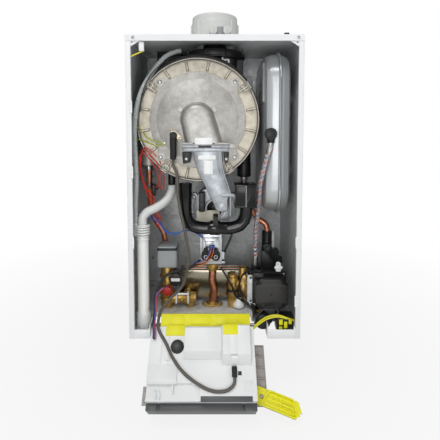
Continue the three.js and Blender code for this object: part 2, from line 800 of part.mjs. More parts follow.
const ductTop = archFoot - gap;
const ductFlange = 16;
const ductFront = archFront + 4;
const ductBack = doorFront - gap;
const ductFootZ = fanZ + 6;
const ductFootLeft = fanX + 5;
const ductFootRight = fanX + 31;

function premixDuct() {
  const flangeLow = ductTop - ductFlange;
  const flange = box(archFootLeft - 12, archFootRight + 20, archFront, ductBack, flangeLow, ductTop);
  const outline = [
    [fanX - 52, ductTop - 10],
    [fanX - 50, ductTop - 26],
    [fanX - 37.9, ductTop - 67],
    [fanX - 13.9, ductTop - 119],
    [ductFootLeft, ductFootZ],
    [ductFootRight, ductFootZ],
    [fanX + 41, ductTop - 119],
    [fanX + 31.5, ductTop - 98],
    [fanX + 19.6, ductTop - 64],
    [fanX + 17.2, ductTop - 10],
  ];
  const body = slab(outline, ductFront, ductBack, 5);
  const inner = [
    [fanX - 42, ductTop + 1],
    [fanX - 41, ductTop - 26],
    [fanX - 29, ductTop - 67],
    [fanX - 5, ductTop - 119],
    [ductFootLeft + 6, ductFootZ + 7],
    [ductFootRight - 6, ductFootZ + 7],
    [fanX + 31, ductTop - 119],
    [fanX + 22, ductTop - 98],
    [fanX + 11, ductTop - 64],
    [fanX + 9, ductTop + 1],
  ];
  const hollow = slab(inner, ductFront + 5, ductBack - 5);
  const heelTop = fanZ + 46;
  const heelBack = fanFront - 6 - gap;
  const heel = box(ductFootLeft + 1, ductFootRight + 3, ductBack - 6, heelBack, ductFootZ + 1, heelTop);
  const [wayLeft, wayRight] = [ductFootLeft + 8, ductFootRight - 2];
  const heelHollow = box(wayLeft, wayRight, ductBack - 12, heelBack + 1, ductFootZ + 10, heelTop - 5);
  const lug = box(fanX + 20, fanX + 44, ductFront + 6, ductBack - 4, ductTop - 124, ductTop - 114);
  return cut(joined(flange, body, heel, lug), hollow, heelHollow);
}

const intakeTop = fanZ + 70;
const intakeBottom = fanZ - 38;
const intakeBend = 34;

function intakeSilencer() {
  const u = tube(
    [
      p(intakeLeftX, intakeDepth, intakeTop),
      p(intakeLeftX, intakeDepth, intakeTop - 25),
      p(intakeLeftX, intakeDepth, intakeBottom + intakeBend),
      p(intakeLeftX + 10, intakeDepth, intakeBottom + 10),
      p(intakeLeftX + intakeBend, intakeDepth, intakeBottom),
      p((intakeLeftX + intakeRightX) / 2, intakeDepth, intakeBottom),
      p(intakeRightX - intakeBend, intakeDepth, intakeBottom),
      p(intakeRightX - 10, intakeDepth, intakeBottom + 10),
      p(intakeRightX, intakeDepth, intakeBottom + intakeBend),
      p(intakeRightX, intakeDepth, intakeTop - 50),
    ],
    intakeRadius,
    12,
    20,
  );
  const housing = box(intakeRightX - 25, intakeRightX + 23, 30, intakeBoxBack, intakeTop - 56, intakeTop - 3);
  const clamp = rodX(intakeDepth, intakeBottom, fanX - 12, fanX + 12, intakeRadius + 2.5);
  const mouth = rodZ(intakeLeftX, intakeDepth, intakeTop - 30, intakeTop + 1, intakeRadius - 3);
  return cut(joined(u, housing, clamp), mouth);
}

add("fan_housing", fanHousing(), castAluminium);
add("fan_impeller", fanImpeller(), blackPlastic);
add("fan_motor", fanMotor(), blackPlastic);
add("premix_duct", premixDuct(), castAluminium);
add("intake_silencer", intakeSilencer(), blackPlastic);

// ---- Gas train ----
function gasValve() {
  const low = above(gasValveLift);
  const high = low + gasValveHeight;
  const left = gasX - gasValveWidth / 2 - 4;
  const right = left + gasValveWidth;
  const front = gasDepth - gasValveDepth / 2;
  const back = gasDepth + gasValveDepth / 2;
  const body = box(left, right, front + 6, back, low, high);
  const face = box(left + 5, right - 5, front, front + 8, low + 8, high - 8);
  const outlet = rodZ(gasX, gasDepth, high - 2, high + 9, 14);
  const mixer = rodZ(gasX, gasDepth, high + 6, fanZ - fanRadius - gap, 10);
  const shoulder = rodZ(gasX, gasDepth, low - 4, low + 2, 13);
  const port = box(right - 3, right + 7, front + 14, front + 34, low + 10, low + 30);
  return joined(body, face, outlet, mixer, shoulder, port);
}

function gasCoils() {
  const low = above(gasValveLift);
  const z = low + 27;
  const back = gasDepth - gasValveDepth / 2 - gap;
  const coil = (x) => rodY(x, z, back - 15, back, 12);
  const cap = (x) => rodY(x, z, back - 19, back - 14, 6);
  const [x1, x2] = [gasX - 16.5, gasX + 8.5];
  const yoke = box(x1, x2, back - 12, back, z - 8, z + 8);
  return joined(coil(x1), coil(x2), cap(x1), cap(x2), yoke);
}

const gasNutHigh = above(gasValveLift) - 4 - gap;
const gasNutLow = gasNutHigh - 19;

function gasNut() {
  const hexagon = rodZ(gasX, gasDepth, gasNutLow + 4, gasNutHigh, 16.5, 6);
  const neck = rodZ(gasX, gasDepth, gasNutLow, gasNutLow + 5, 12.5);
  const socket = rodZ(gasX, gasDepth, gasNutLow - 1, gasNutHigh - 4, gasPipeRadius + 4 * gap);
  return cut(joined(hexagon, neck), socket);
}

function gasPipe() {
  const pipe = tube(
    [
      p(gasX, gasDepth, gasNutHigh - 5),
      p(gasX, gasDepth, gasNutLow - 4),
      p(gasX - 1, gasDepth, above(66)),
      p(gasX + 4, gasDepth, above(41)),
      p(gasX + 3, gasDepth, above(24)),
      p(gasX, gasDepth, above(8)),
      p(gasX, gasDepth, above(0)),
    ],
    gasPipeRadius,
    10,
    12,
  );
  const stub = rodZ(gasX, gasDepth, bottom - stubLength, above(1), gasPipeRadius);
  const flange = slabFlat(roundedRectangle(55, 28, 13.9, gasX, 0), gasDepth, floorTop + gap, floorTop + 6);
  const nut = rodZ(gasX, gasDepth, bottom - stubLength, bottom - stubLength + 14, 15, 6);
  return joined(pipe, stub, flange, nut);
}

// an outline in x and y about the depth q, from one height to another
function slabFlat(shape, q, z0, z1) {
  const options = { depth: z1 - z0, bevelEnabled: false, curveSegments: 8 };
  const geometry = new THREE.ExtrudeGeometry(shape, options);
  geometry.translate(0, at(q), z0);
  return solid(geometry);
}

add("gas_valve", gasValve(), castAluminium);
add("gas_coils", gasCoils(), blackPlastic);
add("gas_nut", gasNut(), brass);
add("gas_pipe", gasPipe(), copper);

// ---- Water side ----
const plateLow = above(14);

function plateExchanger() {
  const count = 5;
  const pitch = plateDepth / count;
  const bodies = [];
  for (let i = 0; i < count; i++) {
    const front = plateFront + i * pitch;
    const inset = i % 2 ? 2.5 : 0;
    const shape = roundedRectangle(
      plateWidth - 2 * inset, plateHeight - 2 * inset, 12, plateX, plateLow + plateHeight / 2);
    bodies.push(slabOf(shape, front, front + pitch + (i < count - 1 ? 0.2 : 0), 0, 3));
  }
  return joined(...bodies);
}

const returnBarZ = above(22);
const relieveZ = above(55);
const sensorZ = above(84);
const portBack = plateFront - gap;

function leftBlock() {
  const top = above(leftBlockHeight) - gap;
  const column = rodZ(leftBlockX, blockDepth, floorTop + gap, top, leftBlockRadius);
  const collar = rodZ(leftBlockX, blockDepth, above(34), above(44), leftBlockRadius + 3);
  const bar = rodX(blockDepth, returnBarZ, leftBlockX, leftBlockX + 76, 14.5);
  const barNut = rodX(blockDepth, returnBarZ, leftBlockX + 48, leftBlockX + 62, 18, 6);
  const platePort = rodY(leftBlockX + 52, returnBarZ + 8, blockDepth, portBack, 10);
  const sensorArm = rodX(blockDepth, sensorZ, leftBlockX, sensorX + 8, 8);
  const sensorBoss = rodY(sensorX, sensorZ, blockDepth - 18, blockDepth + 8, 10);
  const reliefBoss = rodY(leftBlockX + 5, relieveZ, blockDepth - 26, blockDepth, 10);
  const pipeBoss = rodZ(flowEndX, flowEndDepth, above(62), above(94), 10);
  const pipeArm = rod(p(leftBlockX, blockDepth, above(74)), p(flowEndX, flowEndDepth, above(74)), 8);
  const stub = (x) => rodZ(x, blockDepth, bottom - stubLength, returnBarZ, stubRadius);
  const stubNut = (x) => rodZ(x, blockDepth, bottom - stubLength, bottom - stubLength + 14, 15, 6);
  const bore = rodZ(leftBlockX, blockDepth, top - 30, top + 1, 5);
  const body = joined(
    column, collar, bar, barNut, platePort, sensorArm, sensorBoss, reliefBoss, pipeBoss, pipeArm,
    stub(leftBlockX), stub(leftBlockX + 62), stubNut(leftBlockX), stubNut(leftBlockX + 62),
  );
  return cut(body, bore);
}

const flowEndX = leftBlockX - 8;
const flowEndDepth = 152;

function diverterMotor() {
  const low = above(leftBlockHeight);
  const shape = roundedRectangle(diverterWidth, diverterHeight, 6, leftBlockX + 5, low + diverterHeight / 2);
  const body = slabOf(shape, 74, 132, 3, 3);
  const socket = rodZ(leftBlockX, blockDepth, low - 1, low + 12, 5);
  return cut(body, socket);
}

function diverterSpindle() {
  const low = above(leftBlockHeight);
  return rodZ(leftBlockX, blockDepth, low - 18, low + 11, 4.6);
}

function reliefKnob() {
  const back = blockDepth - 26 - gap;
  const x = leftBlockX + 5;
  let knob = rodY(x, relieveZ, back - 16, back, knobRadius - 1.5);
  for (let i = 0; i < 8; i++) {
    const angle = (2 * Math.PI * i) / 8;
    const [dx, dz] = [Math.cos(angle) * (knobRadius - 2), Math.sin(angle) * (knobRadius - 2)];
    knob = knob.add(rodY(x + dx, relieveZ + dz, back - 15, back - 3, 2));
  }
  return knob;
}

function pressureSensor() {
  const back = blockDepth - 18 - gap;
  const drum = rodY(sensorX, sensorZ, back - 20, back, sensorRadius);
  const plug = box(sensorX - 6, sensorX + 6, back - 14, back - 2, sensorZ + 12, sensorZ + 24);
  return joined(drum, plug);
}

const secondColumnX = rightBlockX + 27.7;
const linkZ = above(60);

function rightBlock() {
  const column = rodZ(rightBlockX, blockDepth, floorTop + gap, above(rightBlockHeight), rightBlockRadius);
  const cap = rodZ(rightBlockX, blockDepth, above(rightBlockHeight) - 1, above(rightBlockHeight) + 8, 10, 6);
  const second = rodZ(secondColumnX, blockDepth, above(36), above(104), 10.3);
  const secondNut = rodZ(secondColumnX, blockDepth, above(36), above(48), 13, 6);
  const link = rodX(blockDepth, linkZ, rightBlockX, voluteLeft - gap, 9.5);
  const platePort = rodY(rightBlockX + 8, above(52), blockDepth, portBack, 10);
  const elbow = rod(p(secondColumnX, blockDepth, above(40)), p(secondColumnX + 6, blockDepth, above(17)), 8);
  const stub = rodZ(rightBlockX, blockDepth, bottom - stubLength, above(5), stubRadius);
  const stubNut = rodZ(rightBlockX, blockDepth, bottom - stubLength, bottom - stubLength + 14, 15, 6);
  return joined(column, cap, second, secondNut, link, platePort, elbow, stub, stubNut);
}

add("plate_heat_exchanger", plateExchanger(), stainless);
add("left_hydroblock", leftBlock(), brass);
add("diverter_motor", diverterMotor(), greyPlastic);
add("diverter_spindle", diverterSpindle(), stainless);
add("relief_knob", reliefKnob(), redPlastic);
add("pressure_sensor", pressureSensor(), blackPlastic);

// ---- Pump ----
const headBack = pumpFront + pumpHeadDepth;
const voluteFront = headBack + gap;
const voluteBack = voluteFront + voluteDepth;
const voluteRight = pumpX + 41;
const pumpLow = above(13);
const pumpZ = pumpLow + pumpHeadHeight / 2;
const shaftRadius = 5;
const hoseEndX = pumpX - 32;
const hoseEndDepth = blockDepth;
const hosePortTop = above(109);

add("right_hydroblock", rightBlock(), brass);

function pumpVolute() {
  const shape = roundedRectangle(voluteRight - voluteLeft, 84, 14, (voluteLeft + voluteRight) / 2, pumpZ);
  const body = slabOf(shape, voluteFront, voluteBack, 0, 4);
  const room = rodY(pumpX, pumpZ, voluteFront - 1, voluteFront + 22, rotorRadius + 3);
  const hosePort = rodZ(hoseEndX, hoseEndDepth, pumpZ + 30, hosePortTop, 8);
  const hoseNut = rodZ(hoseEndX, hoseEndDepth, hosePortTop - 7, hosePortTop, 12, 6);
  const stubX = pumpX - 20;
  const stub = rodZ(stubX, voluteFront + 33 - gap, bottom - stubLength, pumpZ - 38, stubRadius);
  const stubNut = rodZ(stubX, voluteFront + 33 - gap, bottom - stubLength, bottom - stubLength + 14, 15, 6);
  return cut(joined(body, hosePort, hoseNut, stub, stubNut), room);
}

function pumpHead() {
  const width = pumpHeadWidth;
  const height = pumpHeadHeight;
  const x = pumpX;
  const flange = slabOf(roundedRectangle(width, height, 12, x, pumpZ), headBack - 14, headBack, 2, 3);
  const can = slabOf(roundedRectangle(width - 10, height - 10, 20, x, pumpZ), pumpFront, headBack - 12, 5, 4);
  const headTop = pumpZ + height / 2;
  const plug = box(x - 40, x - 18, pumpFront + 14, headBack - 10, headTop - 6, headTop + 5);
  const button = rodY(x, pumpZ, pumpFront - 2, pumpFront + 1, 7);
  const boreHole = rodY(x, pumpZ, pumpFront + 12, headBack + 1, shaftRadius + 1);
  const canRoom = rodY(x, pumpZ, pumpFront + 16, headBack - 8, 20);
  return cut(joined(flange, can, plug, button), boreHole, canRoom);
}

function pumpRotor() {
  const shaft = rodY(pumpX, pumpZ, pumpFront + 14, voluteFront + 17, shaftRadius);
  const magnet = rodY(pumpX, pumpZ, pumpFront + 19, headBack - 11, 18);
  const wheel = rodY(pumpX, pumpZ, voluteFront + 8, voluteFront + 18, rotorRadius);
  return joined(shaft, magnet, wheel);
}

const manifoldX = pumpX - 0.3;
const manifoldDepth = 132;
const manifoldLow = pumpZ + 42 + gap;
const manifoldTop = vesselLow - 56;
const ventZ = (manifoldLow + manifoldTop) / 2 + 8.35;

function pumpManifold() {
  const column = rodZ(manifoldX, manifoldDepth, manifoldLow, manifoldTop, 13);
  const [skirtFront, skirtBack] = [manifoldDepth - 16, manifoldDepth + 16];
  const skirt = box(manifoldX - 14, manifoldX + 30, skirtFront, skirtBack, manifoldLow, manifoldLow + 45.7);
  const vent = rodY(manifoldX, ventZ, manifoldDepth - 26, manifoldDepth, 11);
  const branch = rodX(manifoldDepth, above(120), manifoldX, manifoldX + 40, 9);
  const bore = rodY(manifoldX, ventZ, manifoldDepth - 27, manifoldDepth - 12, 4 + gap);
  const pipeSocket = rodZ(manifoldX, manifoldDepth, manifoldTop - 12, manifoldTop + 1, 8 + gap);
  return cut(joined(column, skirt, vent, branch), bore, pipeSocket);
}

function airVentCap() {
  const back = manifoldDepth - 26 - gap;
  const hub = rodY(manifoldX, ventZ, back - 8, back, 6);
  const stem = rodY(manifoldX, ventZ, back - 1, back + 12, 4);
  const bar = (angle) => {
    const arm = new THREE.BoxGeometry(19, 5, 4);
    arm.rotateY(radians(angle));
    arm.translate(manifoldX, at(back - 5), ventZ);
    return solid(arm);
  };
  return joined(hub, stem, bar(0), bar(90));
}

add("pump_volute", pumpVolute(), blackPlastic);
add("pump_head", pumpHead(), blackPlastic);
add("pump_rotor", pumpRotor(), stainless);
add("pump_manifold", pumpManifold(), blackPlastic);
add("air_vent_cap", airVentCap(), blackPlastic);

// ---- Expansion vessel ----
const vesselZ = vesselTop - vesselHeight / 2;
const vesselMiddle = vesselFront + vesselDepth / 2;
const seamX = vesselLeft + 0.56 * vesselWidth;
const elbowZ = vesselZ;
const elbowX = vesselLeft + 12;

// the vessel's outline lies in depth and height, and its thickness along X
function pancake(width, height, radius, x0, x1, bevel) {
  const shape = roundedRectangle(width, height, radius);
  const geometry = new THREE.ExtrudeGeometry(shape, {
    depth: x1 - x0 - 2 * bevel,
    bevelEnabled: bevel > 0,
    bevelSize: bevel,
    bevelThickness: bevel,
    bevelOffset: -bevel,
    bevelSegments: 2,
    curveSegments: 5,
  });
  geometry.rotateX(Math.PI / 2);
  geometry.rotateZ(Math.PI / 2);
  geometry.computeBoundingBox();
  const box3 = geometry.boundingBox;
  geometry.translate(
    x0 - box3.min.x,
    at(vesselMiddle) - (box3.min.y + box3.max.y) / 2,
    vesselZ - (box3.min.z + box3.max.z) / 2,
  );
  return solid(geometry);
}

function expansionVessel() {
  const inset = 2 * seamWidth;
  const [depth, height] = [vesselDepth - inset, vesselHeight - inset];
  const shells = pancake(depth, height, vesselCorner, vesselLeft, vesselRight, 20);
  const seam = pancake(vesselDepth, vesselHeight, vesselCorner + seamWidth, seamX, seamX + 3, 0);
  const boss = rodY(elbowX, elbowZ, vesselFront - 3, vesselFront + 40, 8);
  const footX = halfWidth - sheet - gap;
  const strap = (z) => box(vesselRight - 8, footX, vesselMiddle - 12, vesselMiddle + 12, z - 10, z + 10);
  return joined(shells, seam, boss, strap(vesselZ + 90), strap(vesselZ - 90));
}

function vesselElbow() {
  const back = vesselFront - 3 - gap;
  const drum = rodY(elbowX, elbowZ, back - 18, back, 14);
  const spout = rodZ(elbowX, back - 9, elbowZ - 20, elbowZ, 8.5);
  return joined(drum, spout);
}

const hoseRadius = 6.2;
const hoseRoute = [
  p(elbowX, vesselFront - 12.3, elbowZ - 20 - gap),
  p(elbowX, vesselFront - 12.3, elbowZ - 32),
  p(122, 34, 68),
  p(114.1, 44, 33.5),
  p(109, 54, 3),
  p(108.5, 64, -30.5),
  p(106.5, 78, -72.8),
  p(104.7, 94, -116.7),
  p(hoseEndX - 0.5, hoseEndDepth - 6, -163.6),
  p(hoseEndX, hoseEndDepth, hosePortTop + 12),
  p(hoseEndX, hoseEndDepth, hosePortTop + gap),
];

add("expansion_vessel", expansionVessel(), vesselPaint);
add("vessel_elbow", vesselElbow(), blackPlastic);
add("vessel_hose", tube(hoseRoute, hoseRadius, 8, 24), braid);

// ---- Pipes ----
const flowPipeRoute = [
  p(flowPortX, flowPortDepth, exchangerZ - 112 - gap),
  p(flowPortX, flowPortDepth, exchangerZ - 130),
  p(flowPortX - 1, flowPortDepth + 20, exchangerZ - 200),
  p(flowPortX + 4, flowPortDepth + 46, exchangerZ - 255),
  p(flowEndX - 6, flowEndDepth, above(188)),
  p(flowEndX, flowEndDepth, above(150)),
  p(flowEndX, flowEndDepth, above(94) + gap),
];
const returnPipeRoute = [
  p(returnPortX, returnPortDepth, exchangerZ - 146 - gap),
  p(returnPortX, returnPortDepth, exchangerZ - 165),
  p(returnPortX + 6, returnPortDepth, (exchangerZ - 165 + vesselLow) / 2 - 1),
  p(returnPortX + 26, returnPortDepth - 6, vesselLow - 10),
  p(manifoldX - 22, manifoldDepth + 6, vesselLow - 25),
  p(manifoldX - 4, manifoldDepth + 1, vesselLow - 38),
  p(manifoldX, manifoldDepth, manifoldTop + 5),
  p(manifoldX, manifoldDepth, manifoldTop - 11),
];

add("flow_pipe", tube(flowPipeRoute, pipeRadius, 8, 16), copper);
add("return_pipe", tube(returnPipeRoute, pipeRadius, 8, 16), copper);

// ---- Condensate siphon and hoses ----
const sumpTop = siphonSeat + 34;
const siphonTop = above(235);

function siphonBody() {
  const seat = siphonSeat + gap;
  const ribs = [];
  for (let i = 0; i < 4; i++) {
    const z = siphonTop - 26 + i * 6;
    const groove = siphonRadius - 4;
    ribs.push([groove, z], [siphonRadius, z + 2], [siphonRadius, z + 3.5], [groove, z + 5.5]);
  }
  const nippleX = siphonX - 17;
  const nipple = rodZ(nippleX, siphonDepth, siphonTop - 26, siphonTop + 2 - gap, 4.5);
  const arm = rodX(siphonDepth, siphonTop - 26, nippleX - 3, siphonX, 4.5);
  const body = turned(siphonX, siphonDepth, [
    [0, seat - 5],
    [10.5, seat - 5],
    [10.5, seat],
    [siphonSumpRadius, seat],
    [siphonSumpRadius, sumpTop],
    [siphonRadius, sumpTop + 7],
    [siphonRadius, siphonTop - 30],
    ...ribs,
    [siphonRadius - 4, siphonTop],
    [0, siphonTop],
  ], facets(siphonRadius));
  return joined(body, nipple, arm);
}

function siphonCup() {
  const top = siphonSeat - sheet - gap;
  const low = bottom + 1;
  const cup = rodZ(siphonX, siphonDepth, low, top, 15.5);
  const grip = box(siphonX - 13, siphonX + 13, siphonDepth - 2, siphonDepth + 2, low - 5, low + 1);
  const bore = rodZ(siphonX, siphonDepth, top - 4, top + 1, 12.5);
  return cut(joined(cup, grip), bore);
}

const condensateRoute = [
  p(drainPortX, drainPortDepth, exchangerZ - 160 - gap),
  p(drainPortX, drainPortDepth, exchangerZ - 174),
  p(-112, 78, -25),
  p(-122.8, 68, -38),
  p(-146, 56, -52),
  p(-164, 48, -60),
  p(siphonX, siphonDepth, siphonTop + 13),
  p(siphonX, siphonDepth, siphonTop + gap),
];

// the clear ribbed drain from the flue collar's foot, down the left side to the siphon
const drainRoute = [
  p(-84, 96, 332),
  p(-93, 90, 330),
  p(-118.8, 74, 314.5),
  p(-147.2, 62, 278.8),
  p(-168.6, 52, 241.7),
  p(-181.6, 46, 204.7),
  p(-188.5, 42, 156.3),
  p(-189.5, 42, 108.2),
  p(-187.5, 42, 60),
  p(-187, 42, 11.2),
  p(-190, 43, -40),
  p(-190.5, siphonDepth, -62),
  p(-190.5, siphonDepth, siphonTop + 12),
  p(-190.5, siphonDepth, siphonTop + 2),
];

add("siphon_body", siphonBody(), paleGreyPlastic);
add("siphon_cup", siphonCup(), blackPlastic);
add("condensate_hose", tube(condensateRoute, 10.5, 10, 16), paleGreyPlastic);
add("drain_hose", ribbedHose(drainRoute, 6, 4, 34), clearHose);

// ---- Cable harness from the gas valve to the control box ----
const harnessRoute = [
  p(-36, 84, -190),
  p(-48, 76, -197),
  p(-64, 67, -204.7),
  p(-85.5, 62, -207.1),
  p(-114.7, 58, -216.2),
  p(-132, 54, -235),
  p(-142, 48, -262.7),
  p(-144, 38, -285),
  p(-143, 22, -301),
  onBox(-141, 71, -317),
  onBox(-139, 69, -303),
  onBox(-138, 68.8, -291),
];
add("main_harness", tube(harnessRoute, 3.2, 8, 22), blackPlastic);

// ---- Control box ----
const hingePin = (side) => {
  const railEnd = side < 0 ? leftRailEnd : rightRailEnd;
  const cheek = side < 0 ? cheekLeft : cheekRight;
  const headOuter = railEnd + side * (sheet + gap + 2.2);
  const pin = rodX(hingeDepth, hingeZ, headOuter, cheek - side * 6, hingePinRadius);
  const head = rodX(hingeDepth, hingeZ, railEnd + side * (sheet + gap), headOuter, 7);
  return joined(pin, head);
};

const cheekLeft = boxLeft + 20;
const cheekRight = boxRight - 7;
const gaugeX = boxLeft + 62.2;
const gaugeZ = coverBottom + 44;
const gaugeRadius = 15;
const dialZ = coverBottom + 65;
const firstDialX = boxLeft + 127;
const secondDialX = firstDialX + 58;
const buttonX = boxRight - 14;
const buttonZ = dialZ + 45;
const leverPivotX = boxRight + 15.2;
const leverPivotZ = coverBottom + 131;
const recessDepth = 8;

function rearCover() {
  const front = fasciaBack + gap;
  const stepX = boxLeft + 116;
  const bayX = stepX + 47; // where the two raised bays meet
  const stepZ = coverBottom + 117;
  const low = box(boxLeft, boxRight, front, coverTop - recessDepth, coverBottom, boxTop);
  const highLeft = box(boxLeft, stepX, front, coverTop, coverBottom, stepZ);
  const highRight = box(stepX - 1, boxRight, front, coverTop, coverBottom, boxTop);
  const w = coverWall;
  const lowBack = coverTop - recessDepth - w;
  const hollowLow = box(boxLeft + w, boxRight - w, front - 1, lowBack, coverBottom + w, boxTop - w);
  const hollowLeft = box(boxLeft + w, stepX, front - 1, coverTop - w, coverBottom + w, stepZ - w);
  const hollowRight = box(stepX + w - 1, boxRight - w, front - 1, coverTop - w, coverBottom + w, boxTop - w);
  // raised bays over the taller components on the board
  const bay = (x0, x1, z0, z1, height, ramp) => {
    const shape = new THREE.Shape([
      new THREE.Vector2(coverTop - 1, z0),
      new THREE.Vector2(coverTop + height, z0),
      new THREE.Vector2(coverTop + height, z1),
      new THREE.Vector2(coverTop - 1, z1 + ramp),
    ]);
    const geometry = new THREE.ExtrudeGeometry(shape, { depth: x1 - x0, bevelEnabled: false });
    geometry.applyMatrix4(
      new THREE.Matrix4().set(0, 0, 1, x0, 1, 0, 0, at(0), 0, 1, 0, 0, 0, 0, 0, 1),
    );
    return solid(geometry);
  };
  const centreBay = bay(stepX - 37, bayX + 0.2, coverBottom + 6, coverBottom + 57, 9, 20);
  const rightBay = bay(bayX, boxRight - 10.6, coverBottom + 2.5, coverBottom + 71, 13, 14);
  const [postLeft, postRight] = [boxLeft + 13, boxRight - 14];
  const post = (x, z, back) => rodY(x, z, boardBack + gap, back - 1, 4);
  const gaugeHole = rodY(gaugeX, gaugeZ, 0, coverTop + 2, gaugeRadius + gap);
  const outside = joined(low, highLeft, highRight, centreBay, rightBay);
  const shellBody = cut(outside, hollowLow, hollowLeft, hollowRight);
  const posts = joined(
    post(postLeft, coverBottom + 14, coverTop), post(postRight, coverBottom + 14, coverTop),
    post(postLeft, boxTop - 14, coverTop - recessDepth), post(postRight, boxTop - 14, coverTop));
  // the slot in which the lever's inner end turns
  const sweep = leverWidth / 2 + 11;
  const slotBack = fasciaBack + leverThickness + 3 * gap;
  const [slotLeft, slotLow] = [leverPivotX - sweep, leverPivotZ - sweep];
  const leverSlot = box(slotLeft, boxRight + 1, front - 1, slotBack, slotLow, boxTop + 1);
  return cut(joined(shellBody, posts), gaugeHole, leverSlot);
}

const boardFront = 26;
const boardBack = 28;

function mainBoard() {
  const board = box(boxLeft + 7, boxRight - 8, boardFront, boardBack, coverBottom + 8, boxTop - 8);
  const [left, right, low, high] = [boxRight - 64, boxRight - 24, coverBottom + 14, coverBottom + 52];
  const transformer = box(left, right, 6, boardFront + 1, low, high);
  const relay = (x) => box(x, x + 14, 14, boardFront + 1, boxTop - 40, boxTop - 22);
  const capacitor = rodY(boxLeft + 107, boxTop - 32, 10, boardFront + 1, 8);
  const gaugeRoom = rodY(gaugeX, gaugeZ, boardFront - 5, boardBack + 5, gaugeRadius + 3);
  const relays = [0, 1, 2].map((i) => relay(boxLeft + 137 + 20 * i));
  return cut(joined(board, transformer, ...relays, capacitor), gaugeRoom);
}

function fascia() {
  const plate = box(boxLeft, boxRight, -boxProud, fasciaBack, boxBottom, boxTop);
  const wingRight = boxRight + wingWidth;
  const wingLow = boxBottom + 52;
  const wingPlate = box(boxRight - 1, wingRight, -boxProud, -boxProud + 2, wingLow, boxTop);
  const ribs = [];
  const cells = 4;
  const cellEnd = leverPivotZ - 14;
  for (let i = 0; i <= cells; i++) {
    const z = wingLow + ((cellEnd - wingLow) * i) / cells;
    ribs.push(box(boxRight - 1, wingRight, -boxProud, fasciaBack - gap, z, z + 2));
  }
  const wingRim = box(wingRight - 2, wingRight, -boxProud, fasciaBack - gap, wingLow, cellEnd + 2);
  const stud = rodY(leverPivotX, leverPivotZ, -boxProud, fasciaBack + leverThickness + gap, hingePinRadius);
  const studSeat = rodY(leverPivotX, leverPivotZ, -boxProud, fasciaBack - gap, 9);
  const earPlate = box(boxLeft - 18, boxLeft + 1, -boxProud, -boxProud + 3, boxTop - 40, boxTop - 2);
  const earHole = (z) => rodY(boxLeft - 10, z, -boxProud - 1, -boxProud + 4, 2.5);
  const dialHole = (x) => rodY(x, dialZ, -boxProud - 1, fasciaBack + 1, turningFit(dialShaftRadius));
  const gaugeHole = rodY(gaugeX, gaugeZ, -boxProud - 1, fasciaBack + 1, gaugeRadius + gap);
  const buttonHole = rodY(buttonX, buttonZ, -boxProud - 1, fasciaBack + 1, turningFit(buttonRadius));
  const [left, right, low, high] = [firstDialX - 10, secondDialX + 10, boxTop - 50, boxTop - 18];
  const window = box(left, right, -boxProud - 1, -boxProud + 1.5, low, high);
  return cut(
    joined(plate, wingPlate, ...ribs, wingRim, studSeat, stud, earPlate),
    earHole(boxTop - 32), earHole(boxTop - 12), dialHole(firstDialX), dialHole(secondDialX), gaugeHole,
    buttonHole, window,
  );
}

// the yellow service flap between the box's cheeks, at the hinge
function accessPlate() {
  const back = coverTop - 3;
  const front = fasciaBack + gap;
  const high = coverBottom - gap;
  const plate = box(cheekLeft, cheekRight, back - coverWall, back, boxBottom, high);
  const cheek = (x) => box(x, x + coverWall, front, back, boxBottom, high);
  const rib = (x, width) => box(x, x + width, back - 1, back + 2, boxBottom + 5, high - 5);
  const hole = rodX(hingeDepth, hingeZ, cheekLeft - 5, cheekRight + 5, turningFit(hingePinRadius));
  const body = joined(
    plate, cheek(cheekLeft), cheek(cheekRight - coverWall),
    rib(cheekLeft + 24, 30), rib(cheekLeft + 70, 46), rib(cheekLeft + 130, 30),
  );
  return cut(body, hole);
}

function terminalBoot() {
  return rodZ(terminalX, terminalDepth, terminalLow, terminalHigh, terminalRadius);
}

function gauge() {
  const bezel = rodY(gaugeX, gaugeZ, -boxProud - 5, -boxProud - gap, 20);
  const body = rodY(gaugeX, gaugeZ, -boxProud - 1, coverTop + 1.5, gaugeRadius);
  return joined(bezel, body);
}

function dial(x) {
  const back = -boxProud - gap;
  const knob = rod(p(x, back, dialZ), p(x, back - 17, dialZ), dialRadius, 28, dialRadius - 2);
  const pointer = box(x - 1.5, x + 1.5, back - 18.5, back - 16, dialZ, dialZ + dialRadius - 3);
  const shaft = rodY(x, dialZ, back - 1, fasciaBack + 3, dialShaftRadius);
  return joined(knob, pointer, shaft);
}

function resetButton() {
  const cap = rodY(buttonX, buttonZ, -boxProud - 4, fasciaBack + 1, buttonRadius);
  const collar = rodY(buttonX, buttonZ, fasciaBack + gap, fasciaBack + 2, buttonRadius + 2);
  return joined(cap, collar);
}

function leverPlate() {
  const half = leverWidth / 2;
  const lean = half * Math.tan(radians(leverTilt));
  const start = -14;
  const end = start + leverLength;
  const outline = [
    [start - lean, -half],
    [end - lean - 12, -half],
    [end - 12 - lean * 0.4, -half * 0.4],
    [end - lean * 0.4, -half * 0.4],
    [end, 0],
    [end + lean * 0.4, half * 0.4],
    [end - 12 + lean * 0.4, half * 0.4],
    [end + lean, half],
    [start + lean, half],
  ];
  const shape = new THREE.Shape(outline.map(([x, z]) => new THREE.Vector2(x, z)));
  const geometry = new THREE.ExtrudeGeometry(shape, { depth: leverThickness, bevelEnabled: false });
  geometry.rotateX(Math.PI / 2);
  geometry.translate(0, leverThickness, 0);
  const slot = (z) => {
    const bar = new THREE.BoxGeometry(52, 3 * leverThickness, 5);
    bar.translate(44, leverThickness / 2, z);
    return solid(bar);
  };
  const hole = new THREE.CylinderGeometry(hingePinRadius + gap, hingePinRadius + gap, 3 * leverThickness, 20);
  return cut(solid(geometry), solid(hole), slot(-10), slot(0), slot(10));
}

